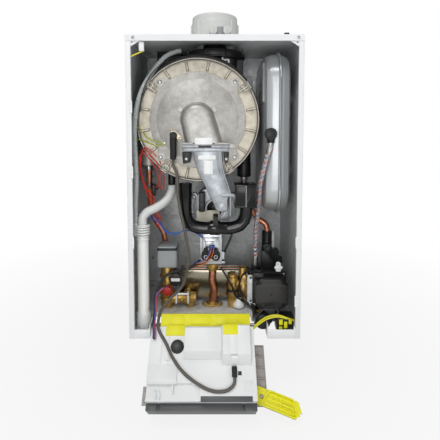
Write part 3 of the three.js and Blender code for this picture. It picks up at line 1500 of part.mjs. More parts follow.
add("left_hinge_pin", hingePin(-1), stainless);
add("right_hinge_pin", hingePin(1), stainless);
add("box_rear_cover", rearCover(), whitePlastic, closedBox);
add("box_fascia", fascia(), greyPlastic, closedBox);
add("box_access_plate", accessPlate(), yellowPlastic, closedBox);
add("main_board", mainBoard(), boardGreen, closedBox);
add("ignition_terminal", terminalBoot(), blackPlastic, closedBox);
add("pressure_gauge", gauge(), blackPlastic, closedBox);
add("heating_knob", dial(firstDialX), paleGreyPlastic, closedBox);
add("water_knob", dial(secondDialX), paleGreyPlastic, closedBox);
add("reset_button", resetButton(), paleGreyPlastic, closedBox);

const leverPivot = new THREE.Group();
leverPivot.position.set(leverPivotX, at(fasciaBack), leverPivotZ);
leverPivot.rotation.y = -radians(leverTilt);
closedBox.add(leverPivot);
add("clamp_lever", leverPlate(), yellowPlastic, leverPivot);

export default boiler;
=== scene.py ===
import json
import math

import bmesh
import bpy
from mathutils import Matrix, Vector


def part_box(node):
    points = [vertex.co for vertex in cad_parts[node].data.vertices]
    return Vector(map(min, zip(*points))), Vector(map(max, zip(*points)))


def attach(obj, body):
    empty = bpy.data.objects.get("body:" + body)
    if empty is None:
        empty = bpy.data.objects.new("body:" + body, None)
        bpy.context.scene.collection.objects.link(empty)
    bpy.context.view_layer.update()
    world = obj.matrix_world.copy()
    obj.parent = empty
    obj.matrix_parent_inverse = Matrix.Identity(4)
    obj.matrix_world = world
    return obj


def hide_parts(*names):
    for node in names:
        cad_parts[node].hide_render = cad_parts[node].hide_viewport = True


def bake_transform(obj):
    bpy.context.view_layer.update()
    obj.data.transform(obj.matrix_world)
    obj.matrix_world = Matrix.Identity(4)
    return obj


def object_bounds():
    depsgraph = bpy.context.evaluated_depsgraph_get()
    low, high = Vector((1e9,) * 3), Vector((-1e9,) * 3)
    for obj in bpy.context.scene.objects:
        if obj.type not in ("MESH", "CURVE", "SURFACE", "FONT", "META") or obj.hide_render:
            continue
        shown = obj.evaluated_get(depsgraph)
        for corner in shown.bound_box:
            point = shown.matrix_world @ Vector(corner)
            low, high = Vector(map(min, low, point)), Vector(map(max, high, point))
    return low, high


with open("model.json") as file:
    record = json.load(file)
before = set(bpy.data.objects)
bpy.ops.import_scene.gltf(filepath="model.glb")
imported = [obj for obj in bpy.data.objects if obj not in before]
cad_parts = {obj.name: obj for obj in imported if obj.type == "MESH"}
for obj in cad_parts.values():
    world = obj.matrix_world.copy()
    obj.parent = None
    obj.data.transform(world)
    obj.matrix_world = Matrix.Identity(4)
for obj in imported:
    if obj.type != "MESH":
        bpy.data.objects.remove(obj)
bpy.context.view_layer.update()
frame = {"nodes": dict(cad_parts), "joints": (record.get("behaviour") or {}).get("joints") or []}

# ---- Case: side panels, back panel and top panel ----
# Folded steel sheet: white powder coat outside and on the front flanges, bare galvanised steel within.
# The sides carry a folded rail at their foot with an ear for the control box's hinge pin.
case_depth = -1000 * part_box("left_side_panel")[0].y
half_width = 1000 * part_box("back_panel")[1].x
half_height = 1000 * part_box("top_panel")[1].z
sheet = 2
flange_width = 12
top_flange = 14.6
rail_height = 22
clearance = 0.3


def place(x, q, z):
    """A point in metres: x to the right, q behind the case's front plane and z up, in millimetres."""
    return Vector((x, q - case_depth, z)) / 1000


def span(name):
    """A node's lowest and highest corner, each as x, q and z in millimetres."""
    return [(1000 * c.x, 1000 * c.y + case_depth, 1000 * c.z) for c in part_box(name)]


def linear(colour):
    """An sRGB hex colour as linear red, green, blue and alpha."""
    channels = [int(colour[i : i + 2], 16) / 255 for i in (1, 3, 5)]
    return tuple(c / 12.92 if c <= 0.04045 else ((c + 0.055) / 1.055) ** 2.4 for c in channels) + (1,)


def node(tree, kind, inputs=None, **settings):
    """Adds a node. Its inputs, by name or number, take a value or a link from another node's output."""
    made = tree.nodes.new(kind)
    for name, value in settings.items():
        setattr(made, name, value)
    for name, value in (inputs or {}).items():
        if isinstance(value, bpy.types.NodeSocket):
            tree.links.new(value, made.inputs[name])
        else:
            made.inputs[name].default_value = value
    return made


def started(name, colour, roughness, metallic=0.0, **constants):
    """Starts a material: its tree, its shader with the constants on it, and its Object coordinates."""
    made = bpy.data.materials.new(name)
    made.use_nodes = True
    tree = made.node_tree
    shader = tree.nodes["Principled BSDF"]
    shader.inputs["Base Color"].default_value = linear(colour)
    shader.inputs["Roughness"].default_value = roughness
    shader.inputs["Metallic"].default_value = metallic
    for socket, value in constants.items():
        shader.inputs[socket.replace("_", " ")].default_value = value
    return made, tree, shader, node(tree, "ShaderNodeTexCoord").outputs["Object"]


def noise(tree, where, size, detail=2.0, roughness=0.5):
    """Soft noise with clouds of a size in millimetres."""
    inputs = {"Vector": where, "Scale": 1000 / size, "Detail": detail, "Roughness": roughness}
    return node(tree, "ShaderNodeTexNoise", inputs).outputs["Fac"]


def maths(tree, operation, *values):
    """The result of an operation on values or links."""
    return node(tree, "ShaderNodeMath", dict(enumerate(values)), operation=operation).outputs[0]


def vectors(tree, operation, first, second):
    """The result of an operation on two vectors, or on a vector and its scale."""
    inputs = {0: first, 3 if operation == "SCALE" else 1: second}
    return node(tree, "ShaderNodeVectorMath", inputs, operation=operation).outputs[0]


def ranged(tree, value, low, high, to_low=0.0, to_high=1.0, **settings):
    """A value that goes from low to high, taken to another range."""
    inputs = {"Value": value, 1: low, 2: high, 3: to_low, 4: to_high}
    return node(tree, "ShaderNodeMapRange", inputs, **settings).outputs[0]


def varied(tree, shader, socket, pattern, low, high):
    """Varies one of a shader's inputs from low to high by a pattern."""
    tree.links.new(ranged(tree, pattern, 0.0, 1.0, low, high), shader.inputs[socket])


def two_tone(tree, shader, factor, dark, light):
    """Colours a shader from dark to light by a pattern's factor."""
    mix = node(tree, "ShaderNodeMix", {0: factor, 6: linear(dark), 7: linear(light)}, data_type="RGBA")
    tree.links.new(mix.outputs[2], shader.inputs["Base Color"])


def raised(tree, shader, height, millimetres, strength=1.0):
    """Raises a shader's surface by a pattern's height of so many millimetres."""
    relief = {"Height": height, "Distance": millimetres / 1000, "Strength": strength}
    bump = node(tree, "ShaderNodeBump", relief)
    tree.links.new(bump.outputs["Normal"], shader.inputs["Normal"])


def powder_coat(name, dark, light):
    """Baked polyester powder: an even, slightly soft gloss with orange peel about 1.5 mm across."""
    made, tree, shader, where = started(name, light, 0.38)
    peel = noise(tree, where, 1.5)
    cloud = noise(tree, where, 160, 3)
    two_tone(tree, shader, cloud, dark, light)
    raised(tree, shader, peel, 0.05, 0.5)
    return made


def galvanised_steel():
    """Hot-dipped zinc: crystals 9 mm across, each with its own grey and gloss, under a dull bloom."""
    made, tree, shader, where = started("galvanised steel, dipped", "#d6d8d9", 0.42, 0.15)
    wobble = node(tree, "ShaderNodeTexNoise", {"Vector": where, "Scale": 1000 / 12})
    shove = 0.004  # metres
    bent = vectors(tree, "MULTIPLY", wobble.outputs["Color"], (shove, shove, shove))
    moved = vectors(tree, "ADD", where, bent)
    crystals = node(tree, "ShaderNodeTexVoronoi", {"Vector": moved, "Scale": 1000 / 9})
    grey = node(tree, "ShaderNodeSeparateColor", {0: crystals.outputs["Color"]})
    two_tone(tree, shader, grey.outputs[0], "#d0d2d3", "#e2e4e5")
    varied(tree, shader, "Roughness", grey.outputs[1], 0.36, 0.56)
    raised(tree, shader, wobble.outputs["Fac"], 0.05, 0.4)
    return made


white_coat = powder_coat("white powder coat", "#e2e4e5", "#ebedee")
zinc = galvanised_steel()


def absorb(form, part, paint=0):
    """Adds a closed part to a form, facing outwards, in the finish with that number."""
    bmesh.ops.recalc_face_normals(part, faces=part.faces)
    for face in part.faces:
        face.material_index = paint
    mesh = bpy.data.meshes.new("part")
    part.to_mesh(mesh)
    part.free()
    form.from_mesh(mesh)
    bpy.data.meshes.remove(mesh)


def soften(part, radius, angle=28):
    """Rounds a part's edges that are sharper than the angle to a radius in millimetres."""
    edges = [e for e in part.edges if len(e.link_faces) == 2 and e.calc_face_angle() > math.radians(angle)]
    bmesh.ops.bevel(part, geom=edges, offset=radius / 1000, segments=2, profile=0.5,
                    affect="EDGES", clamp_overlap=True)


def block(form, x0, x1, q0, q1, z0, z1, edge=1.0, paint=0):
    """A block with rounded edges."""
    part = bmesh.new()
    bmesh.ops.create_cube(part, size=1)
    for v in part.verts:
        share = v.co + Vector((0.5, 0.5, 0.5))
        v.co = place(x0 + (x1 - x0) * share.x, q0 + (q1 - q0) * share.y, z0 + (z1 - z0) * share.z)
    if edge:
        soften(part, edge)
    absorb(form, part, paint)


def studs(form, x, z, radius, turns, half, q0, q1, edge, paint=0):
    """Square studs of a half width, on a circle about (x, z) at turns in degrees from the right."""
    for turn in turns:
        a, b = polar(x, z, radius, turn)
        block(form, a - half, a + half, q0, q1, b - half, b + half, edge, paint)


def in_view(view, a, b, c):
    """A point by its place in an outline, drawn in the front, side or plan view, and its depth there."""
    if view == "front":
        return place(a, c, b)
    return place(c, a, b) if view == "side" else place(a, b, c)


def polar(a, b, radius, degrees):
    """The point at a radius and an angle from the right, about (a, b)."""
    t = math.radians(degrees)
    return a + radius * math.cos(t), b + radius * math.sin(t)


def ring(a, b, radius, sides=24, start=0.0, end=360.0):
    """A circle's or an arc's points about (a, b), from one angle to another in degrees."""
    gaps = sides if abs(end - start) >= 360 else sides - 1
    return [polar(a, b, radius, start + (end - start) * i / gaps) for i in range(sides)]


def eased(points, radius, steps=4, closed=True):
    """An outline or profile whose corners are rounded."""
    result = []
    for i, corner in enumerate(points):
        if not closed and i in (0, len(points) - 1):
            result.append(corner)
            continue
        here = Vector(corner)
        before, after = Vector(points[i - 1]) - here, Vector(points[(i + 1) % len(points)]) - here
        cut = min(radius, 0.48 * before.length, 0.48 * after.length)
        a, b = here + before.normalized() * cut, here + after.normalized() * cut
        for k in range(steps + 1):
            t = k / steps
            result.append(tuple(a * (1 - t) ** 2 + here * 2 * t * (1 - t) + b * t * t))
    return result


def corners(a0, a1, b0, b1):
    """A rectangle's four corners."""
    return [(a0, b0), (a1, b0), (a1, b1), (a0, b1)]


def plate(form, view, outlines, low, high, edge=0.5, paint=0, turn=None):
    """A plate cut to an outline with its holes, with rounded edges, from one depth to another."""
    curve = bpy.data.curves.new("outline", "CURVE")
    curve.dimensions, curve.fill_mode, curve.bevel_resolution = "2D", "BOTH", 1
    edge = min(edge, 0.48 * (high - low))
    curve.extrude, curve.bevel_depth, curve.offset = (high - low) / 2 - edge, edge, -edge
    for outline in outlines:
        spline = curve.splines.new("POLY")
        spline.points.add(len(outline) - 1)
        for point, (a, b) in zip(spline.points, outline):
            point.co = (a, b, 0, 1)
        spline.use_cyclic_u = True
    holder = bpy.data.objects.new("outline", curve)
    mesh = bpy.data.meshes.new_from_object(holder)
    part = bmesh.new()
    part.from_mesh(mesh)
    bpy.data.objects.remove(holder)
    bpy.data.curves.remove(curve)
    bpy.data.meshes.remove(mesh)
    bmesh.ops.remove_doubles(part, verts=part.verts, dist=0.002)
    for v in part.verts:
        v.co = in_view(view, v.co.x, v.co.y, v.co.z + (low + high) / 2)
    if turn:
        bmesh.ops.transform(part, matrix=turn, verts=part.verts)
    absorb(form, part, paint)


def laid(x, z, degrees):
    """Moves what is drawn about the origin in the front view to (x, z), turned about its depth."""
    turn = Matrix.Rotation(math.radians(degrees), 4, "Y")
    return Matrix.Translation(place(x, 0, z)) @ turn @ Matrix.Translation(-place(0, 0, 0))


def fitted(name, form, finishes, body, angle=32):
    """Makes a form a piece that rides on a body: smooth, with its sharp edges kept."""
    mesh = bpy.data.meshes.new(name)
    form.to_mesh(mesh)
    form.free()
    for finish in finishes:
        mesh.materials.append(finish)
    mesh.polygons.foreach_set("use_smooth", [True] * len(mesh.polygons))
    mesh.set_sharp_from_angle(angle=math.radians(angle))
    piece = bpy.data.objects.new(name, mesh)
    bpy.context.scene.collection.objects.link(piece)
    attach(piece, body)
    return piece


pin_low, pin_high = span("left_hinge_pin")
hinge_depth, hinge_height = (pin_low[1] + pin_high[1]) / 2, (pin_low[2] + pin_high[2]) / 2
bottom = -half_height

for side, name in ((-1, "left"), (1, "right")):
    low, high = span(f"{name}_side_panel")
    rail_end = high[0] if side < 0 else low[0]
    outer, inner = side * half_width, side * (half_width - sheet)
    flange_end = side * (half_width - flange_width)
    form = bmesh.new()
    fold = [(outer, high[1]), (outer, 0), (flange_end, 0), (flange_end, sheet), (inner, sheet),
            (inner, high[1])]
    flange_top = half_height - top_flange - clearance
    plate(form, "plan", [eased(fold, 1.6)], bottom, flange_top, 0.3)
    plate(form, "plan", [corners(*sorted((outer, inner)), 2.6, high[1])], flange_top - 1, high[2], 0.3)
    # the hem along the flange, and the folded rail at the foot
    hem = sorted((flange_end, flange_end + side * 1.2))
    block(form, *hem, sheet - 0.5, 9, bottom + rail_height + 2, flange_top - 16, 0.4)
    rail = sorted((outer - side * 0.5, rail_end))
    block(form, *rail, clearance, sheet + 0.2, bottom + clearance, bottom + rail_height, 0.8)
    ear = sorted((rail_end, rail_end + side * sheet))
    ear_outline = eased(corners(0.4, hinge_depth + 12, bottom + sheet, bottom + 1.5 * rail_height), 5)
    plate(form, "side", [ear_outline, ring(hinge_depth, hinge_height, 4.6)], *ear, 0.3)
    for face in form.faces:
        middle = face.calc_center_median()
        within = side * middle.x * 1000 < half_width - 1.2
        face.material_index = int(within and middle.y > place(0, sheet - clearance, 0).y)
    panel = fitted(f"{name}_case_side", form, [white_coat, zinc], "case")
    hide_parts(f"{name}_side_panel")

# the back panel, with two slots that it hangs by, and pressed fields and beads that stiffen it
low, high = span("back_panel")
form = bmesh.new()
hanging_slots = [eased(corners(x - 20, x + 20, 297, 309), 5) for x in (-62, 62)]
inner_face = high[1] - sheet
plate(form, "front", [corners(low[0], high[0], low[2], high[2])] + hanging_slots, inner_face, high[1], 0.3)
fields = [(-175, -95, -132, -202), (-75, 75, -132, -202), (95, 175, -132, -202),
          (-160, -100, -40, -120), (-60, 60, -30, -112), (100, 160, -60, -120), (92, 112, 60, 300)]
for x0, x1, top, foot in fields:
    field = eased(corners(x0, x1, min(foot, top), max(foot, top)), 9)
    plate(form, "front", [field], inner_face - 1.4, inner_face + 0.6, 0.9)
for z in (-126, -208, 52):
    block(form, low[0] + 14, high[0] - 14, inner_face - 1.1, inner_face + 0.5, z - 2, z + 2, 0.8)
for face in form.faces:
    face.material_index = int(face.calc_center_median().y < place(0, high[1] - 1, 0).y)
panel = fitted("case_back", form, [white_coat, zinc], "case")
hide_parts("back_panel")

# the top panel: its flange closes the case's front, and the flue collar stands on its hole
low, high = span("top_panel")
collar_low, collar_high = span("flue_collar")
flue_x, flue_depth = 0, 145
form = bmesh.new()
flue_hole = ring(flue_x, flue_depth, 51.5, 64)
plate(form, "plan", [corners(low[0], high[0], 1.2, high[1]), flue_hole], high[2] - sheet, high[2], 0.3)
lip = eased([(0, low[2] + 16), (0, high[2]), (7, high[2]), (7, high[2] - sheet), (sheet, high[2] - sheet),
             (sheet, high[2] - top_flange), (0, high[2] - top_flange)], 1.6)
plate(form, "side", [lip], low[0], high[0], 0.3)
inside = half_width - sheet - clearance
gusset_low, gusset_high = 322.4, 338.4
for side in (-1, 1):
    gusset = [(side * (inside - 34), gusset_high), (side * inside, gusset_high), (side * inside, gusset_low),
              (side * (inside - 8), gusset_low)]
    hole = ring(side * (inside - 13), 333, 1.8, 12)
    plate(form, "front", [eased(gusset[:: -side], 2), hole], sheet + clearance, 2 * sheet + clearance, 0.3)
# the black stop on the top edge, at the right
block(form, 155, 166, 2, 14, half_height - 0.5, half_height + 4, 1.2, 2)


def moulded(name, dark, light, roughness=0.5, grain=0.8, depth=0.03, **constants):
    """An injection-moulded plastic: an even colour, and the spark-eroded grain of its mould."""
    made, tree, shader, where = started(name, light, roughness, IOR=1.49, **constants)
    skin = noise(tree, where, grain, 3)
    flow = noise(tree, where, 60, 4)
    two_tone(tree, shader, flow, dark, light)
    varied(tree, shader, "Roughness", flow, roughness - 0.07, roughness + 0.07)
    raised(tree, shader, skin, depth, 0.6)
    return made


black_pp = moulded("black polypropylene, moulded", "#0f1011", "#18191a", 0.4, Specular_IOR_Level=0.4)
panel = fitted("case_top", form, [white_coat, zinc, black_pp], "case")
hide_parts("top_panel")

# white polyamide clips on the flanges, which hold the front cover's edge
clips = bmesh.new()
clip_heights = {-1: (189.6, 41.4, -120.7), 1: (-120.7, -259.7)}
for side, heights in clip_heights.items():
    for z in heights:
        a, b = sorted((side * (half_width - 14.5), side * (half_width - 7)))
        outline = eased(corners(a, b, z - 14, z + 14), 2.4)
        holes = [ring((a + b) / 2, z + dz, 1.3, 12) for dz in (-6, 6)]
        plate(clips, "front", [outline] + holes, -1.2, -0.1, 0.4)
white_nylon = moulded("white polyamide, moulded", "#e3e5e4", "#edeeed", 0.4)
fitted("cover_clips", clips, [white_nylon], "case")

# the white block in the upper left corner, with the short yellow strap that keeps a cover from falling
form = bmesh.new()
block(form, -170, -158.5, 4, 12, 313.6, 335, 1.2)
for k in range(6):
    block(form, -168 - 4.6 * k, -162.6 - 4.6 * k, 6, 7.4, 311 - 2 * k, 314 - 2 * k, 0.4, 1)
yellow_nylon = moulded("yellow polyamide, moulded", "#d4c41c", "#e4d62c", 0.4)
fitted("cover_strap", form, [white_nylon, yellow_nylon], "case")

# ---- Hydraulic floor and hinge pins ----
# A galvanised tray screwed between the side panels, which carries the water side; it steps down at the pump.
# The two steel pins go through the ears and the control box's cheeks, with a flat head each.


def refined(name, source, finishes, body, edge=0.8, extra=None):
    """A node's own shape as a piece: its triangles joined, its flat faces whole and its edges rounded."""
    form = bmesh.new()
    form.from_mesh(frame["nodes"][source].data)
    bmesh.ops.remove_doubles(form, verts=form.verts, dist=2e-5)
    bmesh.ops.dissolve_limit(form, angle_limit=math.radians(1), verts=form.verts, edges=form.edges)
    soften(form, edge, 30)
    for face in form.faces:
        face.material_index = 0
    if extra:
        extra(form)
    piece = fitted(name, form, finishes, body)
    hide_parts(source)


def bright_steel(name, dark, light, roughness=0.3):
    """Turned and zinc-plated steel: bright, with fine tool marks and a faint haze."""
    made, tree, shader, where = started(name, light, roughness, 1.0)
    haze = noise(tree, where, 5, 5)
    marks = noise(tree, where, 0.5)
    two_tone(tree, shader, haze, dark, light)
    varied(tree, shader, "Roughness", haze, roughness - 0.1, roughness + 0.12)
    raised(tree, shader, marks, 0.02, 0.4)
    return made


plated_steel = bright_steel("zinc-plated steel, turned", "#8f8e8a", "#b8b7b3")
refined("floor_tray", "hydraulic_floor", [zinc], "case", 0.3)
refined("left_pin", "left_hinge_pin", [plated_steel], "case", 0.5)
refined("right_pin", "right_hinge_pin", [plated_steel], "case", 0.5)

# ---- Screws ----
# Zinc-plated pan-head screws with a six-lobed recess. One screw is made, and a tree sets it on the points
# of a seat mesh, turned to face away from its seat.


def screw_head():
    """One screw of 1 mm head radius at the origin, with its head up: a dome with a six-lobed recess."""
    form = bmesh.new()
    sides = 24
    levels = [(0.05, 0.12), (0.34, 0.12), (0.42, 0.5), (0.78, 0.42), (0.96, 0.22), (1.0, 0.0), (0.5, -0.2)]
    rings = []
    for index, (radius, height) in enumerate(levels):
        loop = []
        for k in range(sides):
            turn = 2 * math.pi * k / sides
            lobe = 1 + 0.16 * math.cos(6 * turn) if index in (1, 2) else 1
            out = radius * lobe
            loop.append(form.verts.new((out * math.cos(turn), out * math.sin(turn), height)))
        rings.append(loop)
    for a, b in zip(rings, rings[1:]):
        for k in range(sides):
            form.faces.new([a[k], b[k], b[(k + 1) % sides], a[(k + 1) % sides]])
    form.faces.new(rings[0])
    form.faces.new(rings[-1])
    bmesh.ops.recalc_face_normals(form, faces=form.faces)
    mesh = bpy.data.meshes.new("screw_head")
    form.to_mesh(mesh)
    form.free()
    return bpy.data.objects.new("screw_head", mesh)


def new_tree(name, **kinds):
    """A Geometry Nodes tree with inputs of some kinds, with its input sockets and its output node."""
    tree = bpy.data.node_groups.new(name, "GeometryNodeTree")
    for label, kind in {"Base": "Geometry", **kinds}.items():
        tree.interface.new_socket(label, in_out="INPUT", socket_type=f"NodeSocket{kind}")
    tree.interface.new_socket("Piece", in_out="OUTPUT", socket_type="NodeSocketGeometry")
    return tree, node(tree, "NodeGroupInput").outputs, node(tree, "NodeGroupOutput")


def ended(tree, given, result, output):
    """Ends a tree: the copies made real, in the finish that it is given."""
    real = node(tree, "GeometryNodeRealizeInstances", {0: result})
    painted = node(tree, "GeometryNodeSetMaterial", {0: real.outputs[0], "Material": given["Finish"]})
    tree.links.new(painted.outputs[0], output.inputs[0])


def copies(tree, given, points, **more):
    """Copies of the given object on points."""
    copy = node(tree, "GeometryNodeObjectInfo", {"Object": given["Copy"], "As Instance": True})
    inputs = {"Points": points, "Instance": copy.outputs["Geometry"], **more}
    return node(tree, "GeometryNodeInstanceOnPoints", inputs).outputs[0]


def screws_tree():
    """A copy on each point of a mesh, of a given size, with its Z axis along the point's facing."""
    tree, given, output = new_tree("screws on their seats", Copy="Object", Size="Float", Finish="Material")
    facing = node(tree, "GeometryNodeInputNamedAttribute", {"Name": "facing"}, data_type="FLOAT_VECTOR")
    turned_to = node(tree, "FunctionNodeAlignRotationToVector", {"Vector": facing.outputs[0]}, axis="Z")
    sized = node(tree, "ShaderNodeCombineXYZ", {k: given["Size"] for k in range(3)})
    set_on = copies(tree, given, given["Base"], Rotation=turned_to.outputs[0], Scale=sized.outputs[0])
    ended(tree, given, set_on, output)
    return tree


def grown(name, base, tree, inputs, body, angle=32):
    """Runs a tree on a base mesh or curve, and keeps the result as a plain piece on a body."""
    holder = bpy.data.objects.new(f"{name}_base", base)
    bpy.context.scene.collection.objects.link(holder)
    modifier = holder.modifiers.new("tree", "NODES")
    modifier.node_group = tree
    for item in tree.interface.items_tree:
        if item.item_type == "SOCKET" and item.in_out == "INPUT" and item.name in inputs:
            modifier[item.identifier] = inputs[item.name]
    holder.update_tag()
    result = holder.evaluated_get(bpy.context.evaluated_depsgraph_get())
    mesh = bpy.data.meshes.new_from_object(result)
    holder.modifiers.remove(modifier)
    bpy.data.objects.remove(holder)
    mesh.polygons.foreach_set("use_smooth", [True] * len(mesh.polygons))
    mesh.set_sharp_from_angle(angle=math.radians(angle))
    piece = bpy.data.objects.new(name, mesh)
    bpy.context.scene.collection.objects.link(piece)
    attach(piece, body)
    return piece


IN, OUT, UP = (0, 1, 0), (0, -1, 0), (0, 0, 1)  # into the case, out of it and up
screw = screw_head()
screw_tree = screws_tree()


def screws(name, seats, size, body="case", facing=OUT, turn=None):
    """Screws with a head radius in millimetres at seats (x, q, z), facing one way."""
    base = bpy.data.meshes.new(name)
    points = [place(*seat) for seat in seats]
    facing = Vector(facing)
    if turn:
        points = [turn @ p for p in points]
        facing = turn.to_3x3() @ facing
    base.from_pydata(points, [], [])
    layer = base.attributes.new("facing", "FLOAT_VECTOR", "POINT")
    for item in layer.data:
        item.vector = facing
    inputs = {"Copy": screw, "Size": size / 1000, "Finish": plated_steel}
    grown(name, base, screw_tree, inputs, body)


screws("floor_screws", [(-185, 150, -321.6), (-185, 250, -321.6), (60, 250, -321.6), (188, 250, -343.6)], 4.5,
       facing=UP)
screws("top_screws", [(x, 0, 342.8) for x in (-182, 186)], 3.6)
screws("back_screws", [(x, 287.6, z) for x in (-188, 188) for z in (-250, 0, 250)], 4)
screws("rear_screws", [(x, case_depth, z) for x in (-191, 191) for z in (-330, -110, 110, 330)], 3.6,
       facing=IN)
for side in (-1, 1):
    seats = [(side * half_width, q, z) for q, z in ((274, -325), (274, 0), (274, 325), (14, -338))]
    screws(f"{'left' if side < 0 else 'right'}_side_screws", seats, 3.4, facing=(side, 0, 0))

# ---- Flue collar and its test caps ----
# The pale grey ABS socket that the flue pipe is pushed into, screwed down over the hole in the top.
# Two sampling ports stand on its front, each closed by a cap that pulls out.


def turned(form, profile, centre, axis=UP, sides=48, paint=0):
    """Turns a profile of (radius, distance along the axis) round an axis through a centre (x, q, z)."""
    axis = Vector(axis).normalized()
    across = axis.orthogonal().normalized()
    other = axis.cross(across)
    part = bmesh.new()
    rings = []
    for radius, along in profile:
        middle = Vector(centre) + axis * along
        if radius < 0.01:
            rings.append([part.verts.new(place(*middle))])
            continue
        turns = [2 * math.pi * k / sides for k in range(sides)]
        spots = [middle + (across * math.cos(t) + other * math.sin(t)) * radius for t in turns]
        rings.append([part.verts.new(place(*spot)) for spot in spots])
    pairs = list(zip(rings, rings[1:]))
    if len(rings[0]) > 1 and len(rings[-1]) > 1:
        pairs.append((rings[-1], rings[0]))
    for a, b in pairs:
        for k in range(sides):
            loop = [a[k % len(a)], a[(k + 1) % len(a)], b[(k + 1) % len(b)], b[k % len(b)]]
            loop = list(dict.fromkeys(loop))
            if len(loop) > 2:
                part.faces.new(loop)
    absorb(form, part, paint)


def hoop(form, r0, r1, start, end, edge, centre, axis=UP, sides=40, paint=0):
    """A round band between two radii and two distances along an axis, with rounded edges."""
    turned(form, eased(corners(r0, r1, start, end), edge), centre, axis, sides, paint)


def peg(form, centre, axis, radius, start, end, edge=0.6, sides=32, paint=0, bore=0, depth=0):
    """A round bar with rounded rims, or with a bore from its far end of some depth."""
    profile = [(0, start), (radius, start), (radius, end)]
    profile += [(bore, end), (bore, end - depth), (0, end - depth)] if bore else [(0, end)]
    turned(form, eased(profile, edge, 2, closed=False), centre, axis, sides, paint)


pale_abs = moulded("pale grey ABS, moulded", "#c0c2bf", "#d3d5d2", 0.42)
grey_abs = moulded("grey ABS, moulded", "#8c8f90", "#9b9e9f", 0.45)
form = bmesh.new()
foot, top = collar_low[2], collar_high[2]
wall = [(51.5, foot), (66.4, foot), (65.5, foot + 5), (59.5, foot + 9), (59, top - 17), (57.6, top - 15),
        (57.2, top - 3), (55.6, top), (52.6, top), (51.5, top - 2)]
turned(form, eased(wall, 1.4, 3), (flue_x, flue_depth, 0), sides=96)
for x in (-40, 42):
    reach = flue_depth - math.sqrt(58.5**2 - x * x)
    block(form, x - 1.4, x + 1.4, reach - 2, reach + 6, foot, top - 15, 0.7)
for side in (-1, 1):
    block(form, *sorted((side * 57, side * 61.5)), 142, 148, foot + 1, top - 17, 1)
port_depth, port_height = 80.5, 378
for x in (-4, 30):
    rim = [(5.3, 6), (5.3, 0.8), (6.2, 0), (8, 0), (8.5, 0.8), (8.5, 22), (5.3, 22)]
    turned(form, rim, (x, port_depth, port_height), IN, 32)
    turned(form, [(8.6, 2), (10, 3), (10, 5), (8.6, 5)], (x, port_depth, port_height), IN, 32, 1)
block(form, 5.5, 20.5, 84.5, 92, 365, 389, 1.5, 1)
for z in (372, 379, 386):
    block(form, 7, 19, 83.8, 86, z - 1.2, z + 1.2, 0.5, 1)
piece = fitted("flue_socket", form, [pale_abs, grey_abs], "case")
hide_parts("flue_collar")
refined("left_cap", "test_cap_left", [pale_abs], "test_cap_left", 0.9)
refined("right_cap", "test_cap_right", [pale_abs], "test_cap_right", 0.9)

# ---- Flue manifold ----
# Black moulded polypropylene: it takes the flue gas up behind the exchanger into the socket under the top,
# with a seal round the flue tube. A white clip holds the drain hose's end to it.
epdm = moulded("EPDM rubber, moulded", "#101112", "#191a1b", 0.6, 1.4, 0.05)


def manifold_details(form):
    lip = [(58, 317), (75, 317), (77.6, 320), (77.6, 330), (74, 333.6), (58, 333.6)]
    turned(form, eased(lip, 2.5, 3), (flue_x, flue_depth, 0), sides=80)
    hoop(form, 20, 27, 288, 319, 2, (29, 118, 0), sides=48)
    turned(form, corners(14, 23, 288, 317), (-118, 112, 0), sides=40)
    seal = [(31, 410), (36, 410), (37, 412), (36, 414), (31, 414)]
    turned(form, seal, (flue_x, flue_depth, 0), sides=56, paint=1)
    for x in (-64, -20, 30, 66):
        block(form, x - 1.2, x + 1.2, 66.5, 76, 318, 332, 0.5)


refined("flue_duct", "flue_manifold", [black_pp, epdm], "case", 2.2, manifold_details)
form = bmesh.new()
plate(form, "front", [eased(corners(12, 36, 300, 311), 3), ring(29, 305, 3)], 84, 88, 0.7)
block(form, 17, 21, 82, 90, 297, 315, 0.8)
fitted("flue_clip", form, [white_nylon], "case")

# ---- Heat exchanger's shell, coil and burner ----
# A black composite drum round a coil of flat stainless tube, with the perforated burner down its middle.
# Its flow and return ports point down; cast sleeves with rubber collars join them to the pipes.
shell_low, shell_high = span("heat_exchanger_shell")
shell_radius = 148
drum_x = shell_low[0] + shell_radius
drum_z = shell_high[2] - shell_radius
door_low, door_high = span("burner_door")
door_front = door_high[1] - 8


def cast_metal(name, dark, light, roughness, metallic):
    """Pressure-cast aluminium: a fine sandy skin, soft flow clouds 14 mm across and small dark pits."""
    made, tree, shader, where = started(name, light, roughness, metallic)
    clouds = noise(tree, where, 14, 6, 0.6)
    sand = noise(tree, where, 0.7)
    pits = node(tree, "ShaderNodeTexVoronoi", {"Vector": where, "Scale": 1000 / 7})
    spot = ranged(tree, pits.outputs["Distance"], 0.04, 0.11)
    shade = ranged(tree, clouds, 0.3, 0.7)
    factor = maths(tree, "MULTIPLY", shade, spot)
    two_tone(tree, shader, factor, dark, light)
    varied(tree, shader, "Roughness", clouds, roughness + 0.07, roughness - 0.07)
    raised(tree, shader, sand, 0.08, 0.5)
    return made


cast_aluminium = cast_metal("aluminium, pressure-cast", "#a09e99", "#bbb9b5", 0.5, 0.7)
warm_casting = cast_metal("aluminium, cast and heat-tinted", "#b0a999", "#cdc7ba", 0.5, 0.45)
# a darker casting, used only for the plates round the ribs' roots: painted shade
painted_rib_shade = cast_metal("aluminium, cast and oxidised", "#6d675c", "#857e72", 0.6, 0.4)
coil_steel = bright_steel("stainless steel, drawn", "#736f68", "#9b9790", 0.36)

form = bmesh.new()
drum = [(142, 64), (146, 64), (148, 66), (148, 92), (145.5, 95), (145.5, 168), (148, 171), (148, 196),
        (144, 200), (60, 200), (60, 195), (140, 195), (142, 190)]
turned(form, eased(drum, 1.5, 2), (drum_x, 0, drum_z), IN, 128)
